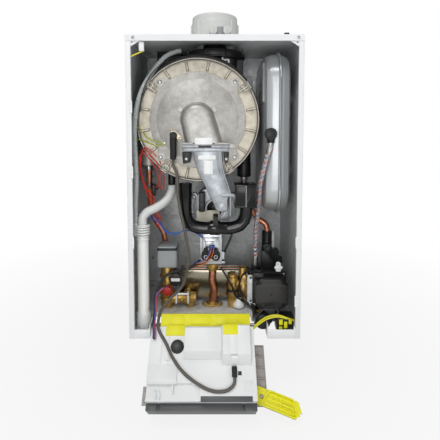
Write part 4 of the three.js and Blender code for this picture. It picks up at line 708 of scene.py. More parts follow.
# the flange behind the band, which stands up higher at the top
turned(form, eased(corners(132, 147.6, 64.7, 66.4), 0.5, 2), (drum_x, 0, drum_z + 9), IN, 128)
rib_reach, rib_middle, rib_length, rib_thickness = 0.1466, 0.1315, 0.072, 0.003  # metres
for turn in range(0, 360, 20):
    angle = math.radians(turn + 10)
    spoke = Matrix.Translation(place(drum_x, 0, drum_z)) @ Matrix.Rotation(-angle, 4, "Y")
    part = bmesh.new()
    bmesh.ops.create_cube(part, size=1)
    for v in part.verts:
        x, y, z = v.co
        v.co = spoke @ Vector((rib_reach + rib_thickness * x, rib_middle + rib_length * y, rib_thickness * z))
    absorb(form, part)
sleeves = [(-166, 100, 17, 50, 116), (77.5, 150, 18, 16, 116), (-107.5, 88, 9, 2, 42)]
for x, q, radius, low, high in sleeves:
    tube_wall = [(radius - 4, low), (radius, low), (radius, low + 34), (radius - 1, low + 38),
                 (radius - 1, high), (radius - 4, high)]
    if radius < 12:
        tube_wall = corners(radius - 3, radius, low, high)
    turned(form, eased(tube_wall, 1), (x, q, 0), sides=40, paint=1 if radius == 17 else 0)
piece = fitted("exchanger_drum", form, [black_pp, cast_aluminium], "case")
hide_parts("heat_exchanger_shell")
refined("exchanger_coil", "heat_exchanger_coil", [coil_steel], "case", 1)
refined("burner_tube", "burner", [coil_steel], "case", 0.6)

# ---- Exchanger's front ring and clamp band ----
# A cast ring with sixteen radial ribs closes the drum, with darker plates round the ribs' roots as painted
# shade. A steel band with four spring clips holds them.


def ring_tree():
    """Copies of an object, drawn as if the axis ran through the origin along Y, spread round that axis."""
    tree, given, output = new_tree("copies round an axis", Copy="Object", Count="Int", Centre="Vector",
                                   Turn="Float", Finish="Material")
    points = node(tree, "GeometryNodePoints", {"Count": given["Count"]})
    index = node(tree, "GeometryNodeInputIndex").outputs[0]
    step = maths(tree, "DIVIDE", 2 * math.pi, given["Count"])
    turn = maths(tree, "MULTIPLY_ADD", index, step, given["Turn"])
    rotation = node(tree, "ShaderNodeCombineXYZ", {1: turn})
    spread = copies(tree, given, points.outputs[0], Rotation=rotation.outputs[0])
    moved = node(tree, "GeometryNodeTransform", {"Geometry": spread, "Translation": given["Centre"]})
    ended(tree, given, moved.outputs[0], output)
    return tree


def loose(name, form):
    """A form as an object on its own, for a tree to copy."""
    mesh = bpy.data.meshes.new(name)
    form.to_mesh(mesh)
    form.free()
    return bpy.data.objects.new(name, mesh)


def around(name, form, count, centre, finish, body, first_turn=0.0):
    """Copies of a form round an axis that runs into the case through a centre (x, q, z)."""
    for v in form.verts:
        v.co -= place(0, 0, 0)
    copy = loose(f"{name}_copy", form)
    inputs = {"Copy": copy, "Count": count, "Centre": list(place(*centre)), "Turn": math.radians(first_turn),
              "Finish": finish}
    piece = grown(name, bpy.data.meshes.new(name), turn_tree, inputs, body)
    bpy.data.objects.remove(copy)
    return piece


turn_tree = ring_tree()
form = bmesh.new()
face = [(96, 57), (112, 57), (113, 54.6), (119, 54.3), (138, 54.3), (141.5, 55), (144, 58), (144, 63.7),
        (96, 63.7)]
turned(form, eased(face, 1.2, 3), (drum_x, 0, drum_z), IN, 128)
for angle in (8, 74, 118, 172, 202, 262, 338):
    x, z = polar(drum_x, drum_z, 129, angle)
    peg(form, (x, 54.6, z), OUT, 4.2, -1, 1.3, 0.5, 20)
piece = fitted("exchanger_ring", form, [warm_casting], "case")
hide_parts("heat_exchanger_ring")
rib = bmesh.new()
block(rib, 118, 142, 48.6, 56, -1.7, 1.7, 0.8)
around("ring_ribs", rib, 16, (drum_x, 0, drum_z), warm_casting, "case", 11.25)
# a darker plate round each rib's root: painted shade beside the ribs
rib_shade_plate = bmesh.new()
block(rib_shade_plate, 117, 143, 53.7, 55, -3.3, 3.3, 0.5)
around("rib_roots", rib_shade_plate, 16, (drum_x, 0, drum_z), painted_rib_shade, "case", 11.25)

form = bmesh.new()
band = [(144.6, 56.4), (147.4, 56.4), (148.2, 58), (148.2, 63), (147.4, 64.6), (144.6, 64.6)]
turned(form, eased(band, 0.5, 2), (drum_x, 0, drum_z), IN, 128)
# a spring clip's folded edges: their sides, corner radius and depths
folds = [((126, 150, -10.2, -8.2), 0.8, 48.5, 50.5), ((126, 150, 8.2, 10.2), 0.8, 48.5, 50.5),
         ((124.5, 127, -10, 10), 0.8, 48.5, 51), ((146, 149.5, -10.2, 10.2), 1, 49, 57)]
for angle in (34, 144, 236, 303):
    turn = laid(drum_x, drum_z, -angle)
    latch = eased(corners(131, 146, -8, 8), 2)
    plate(form, "front", [latch, corners(135, 142, -4.5, 4.5)], 49.5, 51, 0.5, turn=turn)
    for sides, radius, low, high in folds:
        plate(form, "front", [eased(corners(*sides), radius)], low, high, 0.7, turn=turn)
fitted("clamp_band", form, [coil_steel], "case")

# ---- Burner door ----
# A cast aluminium cover with four ears, screwed over the burner. The premix elbow is cast on its front:
# a tall hood that starts round the burner and ends in a flange at the foot.
ears = (225, 135, 315, 45)  # degrees
ear_reach, ear_top, ear_swell, ear_fade = 125.16, 135.2, 21, 6.2
door_radius = 114
form = bmesh.new()
outline = []
for k in range(240):
    angle = 360 * k / 240
    away = min(abs((angle - ear + 180) % 360 - 180) for ear in ears)
    swell = min(ear_top - 0.28 * away**2, door_radius + ear_swell * math.exp(-((away / ear_fade) ** 2)))
    outline.append(polar(drum_x, drum_z, swell if away < 9 else door_radius, angle))
plate(form, "front", [outline], door_front, door_high[1] - clearance, 1.4)
field = [(0, -0.9), (95.6, -0.9), (96.6, -0.2), (97.6, 1), (0, 1)]
turned(form, field, (drum_x, door_front, drum_z), IN, 128)
for dx in (-40.5, 40.5):
    peg(form, (drum_x + dx, door_front, drum_z + 25), OUT, 7, -1, 4.4, 1.2)
ear_spots = [polar(drum_x, drum_z, ear_reach, ear) for ear in ears]
for x, z in ear_spots:
    peg(form, (x, door_front, z), OUT, 9.5, -1, 0.8, 0.4)


def hood(grow):
    """The hood's outline: a round head about the burner's axis and straight sides that run to the foot."""
    arc = [Vector(polar(drum_x, drum_z + 1, 36 + grow, a)) for a in range(20, 201, 6)]
    foot_left, foot_right = (Vector((drum_x + x, sill_foot)) for x in (-24 - grow, 56 + grow))
    right = [foot_right.lerp(arc[0], k / 8) for k in range(8)]
    left = [arc[-1].lerp(foot_left, k / 8) for k in range(1, 9)]
    return right + arc + left


def lofted(form, sections):
    """A closed skin through outlines at their depths, capped at both ends. All have as many points."""
    part = bmesh.new()
    rings = [[part.verts.new(place(a, q, b)) for a, b in outline] for q, outline in sections]
    for low_ring, high_ring in zip(rings, rings[1:]):
        for k in range(len(low_ring)):
            n = (k + 1) % len(low_ring)
            part.faces.new([low_ring[k], low_ring[n], high_ring[n], high_ring[k]])
    part.faces.new(rings[0])
    part.faces.new(rings[-1])
    absorb(form, part)


arch_front = door_low[1]
sill_left, sill_right, sill_foot = drum_x - 36, drum_x + 76, drum_z - 58
steps = [(0, -15), (0.5, -11), (1.6, -7.5), (3.6, -4.2), (7, -1.6), (12, -0.3), (22, 0.6), (27, 2),
         (30.5, 4.6), (33, 8)]
lofted(form, [(arch_front + depth, hood(grow)) for depth, grow in steps])
block(form, sill_left, sill_right, arch_front, door_front, sill_foot, sill_foot + 5, 1.2)
block(form, sill_right - 4, sill_right + 13, arch_front + 4, arch_front + 8, sill_foot - 8, sill_foot + 2, 1)
piece = fitted("burner_cover", form, [cast_aluminium], "case", 38)
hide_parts("burner_door")
screws("door_screws", [(x, door_front - 1.2, z) for x, z in ear_spots], 5.6)


def label_stock():
    """Blank label stock: smooth white vinyl film with a soft gloss and a faint curl of grey."""
    made, tree, shader, where = started("vinyl label, blank", "#f0f1f0", 0.35)
    cloud = noise(tree, where, 30)
    two_tone(tree, shader, cloud, "#e4e6e5", "#f3f4f3")
    return made


label_film = label_stock()
form = bmesh.new()
plate(form, "front", [eased(corners(-46, -6, 105, 120), 1)], arch_front - 0.3, arch_front + 0.3, 0.1)
fitted("door_label", form, [label_film], "case")

# ---- Ignition electrode, its boot and the earth tag ----
# A steel bracket with two screws holds the ceramic electrode in the door. A black silicone boot with
# grip ribs is pushed over it, and the earth wires end on a tag at the door's edge.
yellow_zinc = bright_steel("steel, yellow zinc-plated", "#a59a80", "#c6bda6", 0.38)
electrode_x, electrode_z = -97, 125
form = bmesh.new()
bar = laid(electrode_x + 5, electrode_z + 1, 40)
bracket = eased(corners(-19, 19, -6.5, 6.5), 4)
plate(form, "front", [bracket], door_front - 3.2, door_front - 1, 0.5, turn=bar)
tip = (electrode_x, 0, electrode_z)
peg(form, tip, IN, 7, door_front - 9, door_front, 1, 6, 0)
peg(form, tip, IN, 5, 29, door_front, 0.8, 24, 1)
peg(form, tip, IN, 2, door_front, 76, 0.5, 12)
ceramic = moulded("alumina ceramic, glazed", "#d9d2c3", "#e8e3d8", 0.25)
piece = fitted("electrode_holder", form, [yellow_zinc, ceramic], "case")
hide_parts("ignition_electrode")
seat = [bar @ place(dx, door_front - 3.4, 0) for dx in (-13, 13)]
screws("electrode_screws", [(1000 * s.x, 1000 * s.y + case_depth, 1000 * s.z) for s in seat], 4.2)

boot_x, boot_depth = -98, 34
form = bmesh.new()
boot_wall = [(0, 69), (6.6, 69), (7.4, 72), (7.4, 100), (8, 104), (8, 128), (6.5, 132), (0, 132)]
turned(form, eased(boot_wall, 2, 3, closed=False), (boot_x, boot_depth, 0), sides=40)
boot_head = [(0, -9), (7.6, -9), (8.4, -6), (8.4, 6), (5.4, 9), (0, 9)]
turned(form, eased(boot_head, 2, 3, closed=False), (electrode_x, boot_depth, electrode_z), IN, 40)
for side in (-1, 0, 1):
    x, front = boot_x + 4 * side, boot_depth - 9 + abs(side)
    block(form, x - 0.9, x + 0.9, front, boot_depth - 5, 72, 116, 0.7)
piece = fitted("ignition_boot", form, [epdm], "case")
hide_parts("electrode_boot")

form = bmesh.new()
plate(form, "front", [eased(corners(-131, -117, 104, 110), 2)], 44.4, 45.6, 0.3)
peg(form, (-121, 0, 107), IN, 4.4, 42.5, 45, 0.5, 6)
fitted("earth_tag", form, [plated_steel], "case")

# ---- Drain hose ----
# A clear, ribbed vinyl hose: it drains the flue socket and runs down the left side into the siphon.
# A tree draws its ribs along the route, which part.mjs's hose follows too.


def routed(points, step=3.0):
    """Evenly spaced points, in metres, on the smooth curve (centripetal) through points (x, q, z)."""
    spots = [Vector(p) for p in points]
    ends = [2 * spots[0] - spots[1]] + spots + [2 * spots[-1] - spots[-2]]
    fine = [spots[0]]
    for p0, p1, p2, p3 in zip(ends, ends[1:], ends[2:], ends[3:]):
        a, b, c = ((v - u).length ** 0.5 for u, v in ((p0, p1), (p1, p2), (p2, p3)))
        leave = ((p1 - p0) / a - (p2 - p0) / (a + b) + (p2 - p1) / b) * b
        reach = ((p2 - p1) / b - (p3 - p1) / (b + c) + (p3 - p2) / c) * b
        for k in range(1, 25):
            t = k / 24
            fine.append(p1 + leave * t + (3 * (p2 - p1) - 2 * leave - reach) * t**2
                        + (2 * (p1 - p2) + leave + reach) * t**3)
    total = sum((v - u).length for u, v in zip(fine, fine[1:]))
    count = max(2, round(total / step))
    result, done, due = [place(*fine[0])], 0.0, 1
    for u, v in zip(fine, fine[1:]):
        length = (v - u).length
        while due < count and done + length >= due * total / count:
            result.append(place(*u.lerp(v, (due * total / count - done) / length)))
            due += 1
        done += length
    return result + [place(*fine[-1])]


def length_of(path):
    """A path's length in metres."""
    return sum((b - a).length for a, b in zip(path, path[1:]))


def line_mesh(name, path):
    """A path as a mesh of edges, for a tree to follow."""
    mesh = bpy.data.meshes.new(name)
    mesh.from_pydata([tuple(p) for p in path], [(i, i + 1) for i in range(len(path) - 1)], [])
    return mesh


def ribbed_tree():
    """A closed tube along a path, whose skin swells into ribs at an even pitch."""
    tree, given, output = new_tree("ribs along a path", Radius="Float", Rib="Float", Pitch="Float",
                                   Finish="Material")
    curve = node(tree, "GeometryNodeMeshToCurve", {0: given["Base"]})
    part = maths(tree, "DIVIDE", given["Pitch"], 8.0)
    fine = node(tree, "GeometryNodeResampleCurve", {0: curve.outputs[0], "Length": part}, mode="LENGTH")
    along = node(tree, "GeometryNodeSplineParameter").outputs["Length"]
    turns = maths(tree, "DIVIDE", along, given["Pitch"])
    angle = maths(tree, "MULTIPLY", turns, 2 * math.pi)
    wave = maths(tree, "COSINE", angle)
    share = maths(tree, "DIVIDE", given["Rib"], given["Radius"])
    trough = maths(tree, "SUBTRACT", 1.0, share)
    swell = ranged(tree, wave, -0.35, 0.75, 1.0, trough, interpolation_type="SMOOTHSTEP")
    circle = node(tree, "GeometryNodeCurvePrimitiveCircle", {"Resolution": 24, "Radius": given["Radius"]})
    skin = node(tree, "GeometryNodeCurveToMesh", {
        0: fine.outputs[0], 1: circle.outputs[0], "Scale": swell, "Fill Caps": True})
    ended(tree, given, skin.outputs[0], output)
    return tree


def clear_vinyl(name, tint, roughness, clarity):
    """Plasticised vinyl: clear, a little milky, with a wet gloss and faint clouding along it."""
    made, tree, shader, where = started(name, tint, roughness, IOR=1.45)
    cloud = noise(tree, where, 14, 3)
    varied(tree, shader, "Transmission Weight", cloud, clarity - 0.15, clarity + 0.15)
    raised(tree, shader, cloud, 0.05, 0.3)
    return made


clear_hose = clear_vinyl("vinyl, clear", "#c4cbca", 0.24, 0.2)
milky_hose = clear_vinyl("polyethylene, milky", "#e6e8e5", 0.32, 0.16)
drain_route = [(-84, 96, 332), (-93, 90, 330), (-118.8, 74, 314.5), (-147.2, 62, 278.8), (-168.6, 52, 241.7),
               (-181.6, 46, 204.7), (-188.5, 42, 156.3), (-189.5, 42, 108.2), (-187.5, 42, 60),
               (-187, 42, 11.2), (-190, 43, -40), (-190.5, 45, -62), (-190.5, 45, -75), (-190.5, 45, -85)]
path = routed(drain_route)
ribs = {"Radius": 0.006, "Rib": 0.0007, "Pitch": length_of(path) / 58, "Finish": clear_hose}
drain_hose = grown("drain_line", line_mesh("drain_line", path), ribbed_tree(), ribs, "case")
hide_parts("drain_hose")

# ---- Condensate hose ----
# A milky elastomer hose, smooth in its run and bellowed at its lower end, pushed over the exchanger's drain
# and over the siphon's inlet.
condensate_route = [(-107.5, 88, 1.7), (-107.5, 88, -12), (-112, 78, -25), (-122.8, 68, -38), (-146, 56, -52),
                    (-164, 48, -60), (-173.5, 45, -74), (-173.5, 45, -86.7)]
path = routed(condensate_route, 2.5)


def swept(form, path, radius, sides=24, paint=0):
    """A closed tube along a path in metres. Its radius in millimetres may be a function of the way along."""
    part = bmesh.new()
    frames = []
    across = (path[1] - path[0]).normalized().orthogonal().normalized()
    for i, here in enumerate(path):
        along = (path[min(i + 1, len(path) - 1)] - path[max(i - 1, 0)]).normalized()
        across = (across - along * across.dot(along)).normalized()
        frames.append((here, across, along.cross(across)))
    rings = []
    for i, (here, a, b) in enumerate(frames):
        r = (radius(i / (len(frames) - 1)) if callable(radius) else radius) / 1000
        turns = [2 * math.pi * k / sides for k in range(sides)]
        spots = [here + (a * math.cos(t) + b * math.sin(t)) * r for t in turns]
        rings.append([part.verts.new(s) for s in spots])
    for low_ring, high_ring in zip(rings, rings[1:]):
        for k in range(sides):
            n = (k + 1) % sides
            part.faces.new([low_ring[k], low_ring[n], high_ring[n], high_ring[k]])
    part.faces.new(rings[0])
    part.faces.new(rings[-1])
    absorb(form, part, paint)


form = bmesh.new()
swept(form, path, lambda t: 10.5 if t > 0.05 else 10.2, 32)
condensate_line = fitted("condensate_line", form, [milky_hose], "case")
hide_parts("condensate_hose")

# ---- Expansion vessel's braided hose ----
# A rubber hose under a woven stainless braid with one red and one blue tracer, crimped at both ends.
# A tree winds the wires round it both ways.


def braided_tree():
    """A hose along a path under wires wound both ways round it, with two coloured tracers among them."""
    tree, given, output = new_tree("braid along a path", Radius="Float", Wire="Float", Pitch="Float",
                                   Wires="Int", Core="Material", Finish="Material", Red="Material",
                                   Blue="Material")
    curve = node(tree, "GeometryNodeMeshToCurve", {0: given["Base"]})
    inner = maths(tree, "SUBTRACT", given["Radius"], given["Wire"])
    circle = node(tree, "GeometryNodeCurvePrimitiveCircle", {"Resolution": 24, "Radius": inner})
    tube_skin = node(tree, "GeometryNodeCurveToMesh", {
        0: curve.outputs[0], 1: circle.outputs[0], "Fill Caps": True})
    core = node(tree, "GeometryNodeSetMaterial", {0: tube_skin.outputs[0], "Material": given["Core"]})
    part = maths(tree, "DIVIDE", given["Pitch"], 12.0)
    fine = node(tree, "GeometryNodeResampleCurve", {0: curve.outputs[0], "Length": part}, mode="LENGTH")
    strand = node(tree, "GeometryNodeCurvePrimitiveCircle", {"Resolution": 4, "Radius": given["Wire"]})
    tracer = node(tree, "GeometryNodeCurvePrimitiveCircle", {"Resolution": 6, "Radius": 0.0009})
    normal = node(tree, "GeometryNodeInputNormal").outputs[0]
    tangent = node(tree, "GeometryNodeInputTangent").outputs[0]
    side = vectors(tree, "CROSS_PRODUCT", tangent, normal)
    along = node(tree, "GeometryNodeSplineParameter").outputs["Length"]
    turns = maths(tree, "DIVIDE", along, given["Pitch"])
    layers = [core.outputs[0]]
    plan = [(way, given["Wires"], 0.0, given["Finish"], strand) for way in (1, -1)]
    plan += [(1, 1, 0.035, given["Red"], tracer), (1, 1, 0.535, given["Blue"], tracer)]
    for way, amount, first, finish, profile in plan:
        strands = node(tree, "GeometryNodeDuplicateElements", {0: fine.outputs[0], "Amount": amount},
                       domain="SPLINE")
        share = maths(tree, "DIVIDE", strands.outputs[1], amount)
        shift = maths(tree, "MULTIPLY_ADD", turns, way, first)
        both = maths(tree, "ADD", share, shift)
        angle = maths(tree, "MULTIPLY", both, 2 * math.pi)
        a = vectors(tree, "SCALE", normal, maths(tree, "COSINE", angle))
        b = vectors(tree, "SCALE", side, maths(tree, "SINE", angle))
        reach = vectors(tree, "SCALE", vectors(tree, "ADD", a, b), given["Radius"])
        wound = node(tree, "GeometryNodeSetPosition", {0: strands.outputs[0], "Offset": reach})
        wire = node(tree, "GeometryNodeCurveToMesh", {
            0: wound.outputs[0], 1: profile.outputs[0], "Fill Caps": True})
        layers.append(node(tree, "GeometryNodeSetMaterial", {
            0: wire.outputs[0], "Material": finish}).outputs[0])
    joined = node(tree, "GeometryNodeJoinGeometry")
    for layer in layers:
        tree.links.new(layer, joined.inputs[0])
    real = node(tree, "GeometryNodeRealizeInstances", {0: joined.outputs[0]})
    tree.links.new(real.outputs[0], output.inputs[0])
    return tree


def insulation(name, dark, light):
    """PVC wire insulation: smooth, with a soft wax-like gloss and slight drag marks."""
    made, tree, shader, where = started(name, light, 0.38)
    drag = noise(tree, where, 3)
    two_tone(tree, shader, drag, dark, light)
    raised(tree, shader, drag, 0.02, 0.3)
    return made


braid_steel = bright_steel("stainless steel braid", "#b5b1ac", "#dedad6", 0.3)
black_wire = insulation("PVC insulation, black", "#131415", "#1d1e1f")
red_wire = insulation("PVC insulation, red", "#c42a1c", "#dc3a28")
blue_wire = insulation("PVC insulation, blue", "#1c4f9e", "#2763b8")
hose_route = [
    (130, 25.7, 108.7), (130, 25.7, 97), (122, 34, 68), (114.1, 44, 33.5), (109, 54, 3), (108.5, 64, -30.5),
    (106.5, 78, -72.8), (104.7, 94, -116.7), (105.5, 109, -163.6), (106, 115, -201), (106, 115, -212.7)]
path = routed(hose_route, 4)
braid = {"Radius": 0.0058, "Wire": 0.0004, "Pitch": 0.026, "Wires": 16, "Core": black_wire,
         "Finish": braid_steel, "Red": red_wire, "Blue": blue_wire}
braided_hose = grown("braided_hose", line_mesh("braided_hose", path), braided_tree(), braid, "case",
                     60)
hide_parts("vessel_hose")
form = bmesh.new()
for start, end in ((0, 6), (-7, -1)):
    spots = [path[start].lerp(path[end], k / 12) for k in range(13)]
    swept(form, spots, lambda t: 7.5 if int(t * 12) % 3 else 7.0)
fitted("hose_ferrules", form, [plated_steel], "case")

# ---- Ignition lead and main harness ----
# The ignition lead is thick silicone cable from the electrode's boot to the terminal on the control box.
# The harness is a sleeved bundle from the gas valve's coils to the board. Both run across the box's hinge.
hinge_joint = next(j for j in frame["joints"] if j["name"] == "control_box_hinge")
pivot = place(0, hinge_depth, hinge_height)
box_angle = math.radians(-hinge_joint["range_deg"][0])
box_turn = Matrix.Translation(pivot) @ Matrix.Rotation(box_angle, 4, "X") @ Matrix.Translation(-pivot)


def on_box(x, q, z):
    """A point (x, q, z) of the closed control box, moved to where it is when the box hangs open."""
    spot = box_turn @ place(x, q, z)
    return 1000 * spot.x, 1000 * spot.y + case_depth, 1000 * spot.z


silicone = moulded("silicone cable, extruded", "#504c46", "#5f5a53", 0.55, 2, 0.02)
sleeve = moulded("polyester sleeve, woven", "#161718", "#242526", 0.7, 0.6, 0.1)
lead_route = [
    (-98, 34, 68.7), (-98, 34, 55), (-89.5, 33, 34.6), (-87.5, 28, -7.5), (-79.5, 23, -58.4),
    (-70.3, 20, -97.2), (-65.7, 22, -127), (-61.5, 26, -149.5), (-63.7, 34, -183), (-68.7, 42, -207.4),
    (-75.3, 50, -234.4), (-87.9, 52, -254.6), (-106.4, 50, -272), (-122.1, 42, -287.7), (-131, 26, -299.5),
    on_box(-131.5, 69.5, -317), on_box(-125, 69, -303), on_box(-110.8, 69, -282.2), on_box(-93.7, 69, -252.3),
    on_box(-71.6, 69, -225.8), on_box(-44.7, 69, -205.4), on_box(-18.8, 69, -191.8), on_box(3.8, 69, -186.3),
    on_box(26.2, 70, -188.5), on_box(39.5, 71, -197.5), on_box(42.6, 71.3, -206), on_box(42.6, 71.3, -213.2)]
harness_route = [(-36, 84, -190), (-48, 76, -197), (-64, 67, -204.7), (-85.5, 62, -207.1),
                 (-114.7, 58, -216.2), (-132, 54, -235), (-142, 48, -262.7), (-144, 38, -285),
                 (-143, 22, -301), on_box(-141, 71, -317), on_box(-139, 69, -303), on_box(-138, 68.8, -291)]
# each lead's last point on the case and its first point on the closed box
lead_bend = (-131, 26, -299.5), (-131.5, 69.5, -317)
harness_bend = (-143, 22, -301), (-141, 71, -317)
leads = [("high_tension_lead", "ignition_lead", lead_route, 3.5, silicone, *lead_bend),
         ("sleeved_harness", "main_harness", harness_route, 3.2, sleeve, *harness_bend)]
# three thin wires run from the pressure sensor along the harness's front, and into the box beside it
for k, (dx, finish) in enumerate(((-2.6, black_wire), (0, blue_wire), (2.6, red_wire))):
    points = [(-106 - k, 78, -250 - 2 * k), (-113, 66, -249), (-124, 52, -246 - k), (-134 + dx, 46, -253)]
    points += [(x + dx, q - 3.2, z + 2.6) for x, q, z in harness_route[6:9]]
    inner_route = [(-141, 75.4, -317), (-139, 73.4, -303), (-138, 73.2, -291)]
    points += [on_box(x + dx, q, z) for x, q, z in inner_route]
    leads.append((f"sensor_lead_{k + 1}", None, points, 1.1, finish, *harness_bend))
for name, source, points, radius, finish, case_end, box_end in leads:
    path = routed(points)
    form = bmesh.new()
    swept(form, path, radius, 16)
    mesh = bpy.data.meshes.new(name)
    form.to_mesh(mesh)
    form.free()
    mesh.materials.append(finish)
    mesh.polygons.foreach_set("use_smooth", [True] * len(mesh.polygons))
    cable = bpy.data.objects.new(name, mesh)
    bpy.context.scene.collection.objects.link(cable)
    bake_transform(cable)
    if source:
        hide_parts(source)

# ---- Premix duct ----
# A cast aluminium elbow that carries gas and air from the fan up to the burner door. Its flange is screwed
# under the door's sill, and its foot ends in a lug with a screw.
duct_low, duct_high = span("premix_duct")
flange_top = duct_high[2]
duct_front = duct_low[1] + 4
duct_back = 45.7
form = bmesh.new()
body_outline = [(-52, flange_top - 10), (-50, 77.7), (-39.5, 40), (-14, -12), (5, -53), (30, -53),
                (30.5, -19), (41, -14), (31.5, 5.7), (19.6, 39.7), (17.2, flange_top - 10)]
plate(form, "front", [eased(body_outline, 7, 5)], duct_front, duct_back, 5)
for line, radius in (([(-45, 86), (-43, 74), (-32.5, 41), (-8, -10), (8, -44)], 1.8),
                     ([(7, 86), (8.5, 58), (15, 34), (23, 12), (29, -7)], 1.7),
                     ([(13.5, 86), (16.5, 58), (22.5, 32), (30.5, 10), (36, -8)], 1.9)):
    swept(form, routed([(x, duct_front + 0.4, z) for x, z in line], 4), radius, 16)
block(form, duct_low[0], duct_low[0] + 112, duct_low[1], duct_back, flange_top - 7, flange_top, 2)
block(form, duct_low[0] + 4, duct_low[0] + 108, duct_low[1] + 2, duct_back, flange_top - 16, flange_top - 6,
      2.4)
block(form, -38, -8, duct_low[1] - 0.4, duct_low[1] + 2, flange_top - 6, flange_top - 1.5, 0.6, 1)
block(form, 6, 34, 39.7, 83.7, -52, -13, 6)
block(form, 16, 44, duct_front - 1.6, 42, -17.5, -9.5, 1.4)
peg(form, (17.5, duct_front + 1, -40), OUT, 7, -3, 1.2, 0.8)
peg(form, (0, duct_front + 3, 62), OUT, 5, -3, 0.4, 0.5, 24)
silver_casting = cast_metal("aluminium, cast and blasted", "#8b8f93", "#a9adb1", 0.42, 0.9)
piece = fitted("premix_elbow", form, [silver_casting, black_pp], "case", 40)
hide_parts("premix_duct")
form = bmesh.new()
plate(form, "front", [eased(corners(-38, 2, 70, 79), 0.8)], duct_front - 0.3, duct_front + 0.2, 0.1)
plate(form, "front", [eased(corners(-25, -5, 36, 67), 0.8)], duct_front - 0.3, duct_front + 0.2, 0.1)
fitted("duct_labels", form, [label_film], "case")
screws("duct_screws", [(-72, 22, flange_top - 7.2), (29, 22, flange_top - 7.2)], 4.4, facing=(0, 0, -1))
screws("lug_screw", [(36, 24, -16)], 4.2)
form = bmesh.new()
for x0, x1 in ((-77, -54), (21, 34)):
    outline = eased([(x0, flange_top - 17), (x1, flange_top - 17), (x1 - 3, 62), (x0 + 2, 58)], 3)
    plate(form, "front", [outline], 33, 36, 0.5)
swept(form, routed([(36.5, 32, -21), (36.5, 32, -44), (36.5, 33, -66)], 6), 2.4, 16, 1)
fitted("duct_brackets", form, [black_pp, plated_steel], "case")
screws("bracket_screws", [(-67, 32.8, 70), (27, 32.8, 70)], 4.4)

# ---- Fan ----
# A cast aluminium scroll with screwed lugs, and a black moulded impeller with a cream ring in its inlet.
# The motor is a drawn steel can at the back.


fan_z = sum(c[2] for c in span("fan_motor")) / 2


def fan_details(form):
    studs(form, 0, fan_z, 48, range(15, 360, 30), 1, 86.5, 91, 0.5)
    rim = [(20.2, 86), (24, 86), (25, 87), (25, 91), (20.2, 91)]
    turned(form, eased(rim, 0.8, 2), (0, 0, fan_z), IN, 56)


refined("fan_scroll", "fan_housing", [silver_casting], "case", 1.6, fan_details)
refined("fan_wheel", "fan_impeller", [black_pp], "fan_impeller", 0.4)
refined("fan_drive", "fan_motor", [black_pp, plated_steel], "case", 2)
form = bmesh.new()
plate(form, "front", [eased(corners(-46, 12, -103, -62), 3)], 80.5, 83.4, 0.5)
for x in (-20, 4):
    block(form, x - 1, x + 1, 79, 81, -100, -64, 0.6)
cream = moulded("cream polyamide, moulded", "#cfcab8", "#dcd8c8", 0.45)
fitted("inlet_sheet", form, [cream], "case")
form = bmesh.new()
block(form, -39, -24, 60, 84, -62, -14, 2)
block(form, -37, -26, 57, 61, -56, -38, 1)
fitted("fan_connector", form, [black_pp], "case")
screws("fan_screws", [(x, 84, z) for x, z in (polar(0, fan_z, 60, a) for a in (150, 205))], 4.2)

# ---- Intake silencer ----
# A glossy black moulded tube that draws air down, round and up into a finned box at the right of the fan.
# A rubber-lined clip holds its foot.


def row_tree():
    """Copies of an object in a row, an even step apart."""
    tree, given, output = new_tree("copies in a row", Copy="Object", Count="Int", Step="Vector",
                                   Finish="Material")
    line = node(tree, "GeometryNodeMeshLine", {"Count": given["Count"], "Offset": given["Step"]},
                mode="OFFSET")
    ended(tree, given, copies(tree, given, line.outputs[0]), output)
    return tree


def in_row(name, form, count, step, finish, body):
    """A row of copies of a form, each moved by a step (x, q, z) in millimetres from the last."""
    copy = loose(f"{name}_copy", form)
    inputs = {"Copy": copy, "Count": count, "Step": [c / 1000 for c in step], "Finish": finish}
    grown(name, bpy.data.meshes.new(name), line_tree, inputs, body)
    bpy.data.objects.remove(copy)


line_tree = row_tree()
gloss_black = moulded("black polypropylene, polished", "#0a0b0c", "#101112", 0.16, 0.6, 0.008,
                      Specular_IOR_Level=0.4)


def silencer_details(form):
    block(form, 72.4, 75.6, 28.6, 31, -44, 7, 0.8, 1)
    for z in (-45, 6):
        block(form, 47, 99, 29, 85, z - 0.8, z + 3.2, 1.2)


refined("intake_tube", "intake_silencer", [gloss_black, grey_abs], "case", 1.6,
        silencer_details)
fin = bmesh.new()
block(fin, 51, 52.6, 27.2, 31, -41, 5, 0.6)
in_row("silencer_fins", fin, 12, (4.02, 0, 0), gloss_black, "case")
form = bmesh.new()
hoop(form, 15.7, 18.2, -6, 6, 0.8, (2, 45, -81.5), (1, 0, 0), 48)
block(form, -5, 9, 26, 44, -104, -98, 1.5)
fitted("intake_clip", form, [epdm], "case")

# ---- Gas valve with its coils ----
# A bright die-cast body with two screwed flanges. Two black potted coils stand on its face, and a blue plug
# is pushed on beside them.
bright_casting = cast_metal("aluminium, die-cast and tumbled", "#a3a6a9", "#c9cbcd", 0.34, 0.92)
gas_axis = (-6, 120, 0)


def valve_details(form):
    block(form, -31, 11, 90.6, 93, -195, -136, 2)
    block(form, -24, -2, 88.4, 92, -160, -143, 1.5)
    for x, z in ((-26, -141), (6, -141), (-10, -150)):
        peg(form, (x, 91.5, z), OUT, 3.6, 0, 6, 0.6, 24, 0, 1.8, 4)
    for z in (-131, -126, -121):
        hoop(form, 13, 15.4, z - 1.2, z + 1.2, 0.5, gas_axis)
    block(form, 13, 27, 104, 128, -207, -199, 2)


blue_plug = moulded("blue polyamide, moulded", "#1d4ea0", "#2c66c0", 0.4)
refined("valve_body", "gas_valve", [bright_casting], "case", 1, valve_details)


def coil_details(form):
    for x in (-22.5, 2.5):
        hoop(form, 3, 5.2, -1.4, 1, 0.5, (x, 71.6, -178), IN, 32, 1)
        block(form, x - 5, x + 5, 76, 90, -168, -160, 1.2)


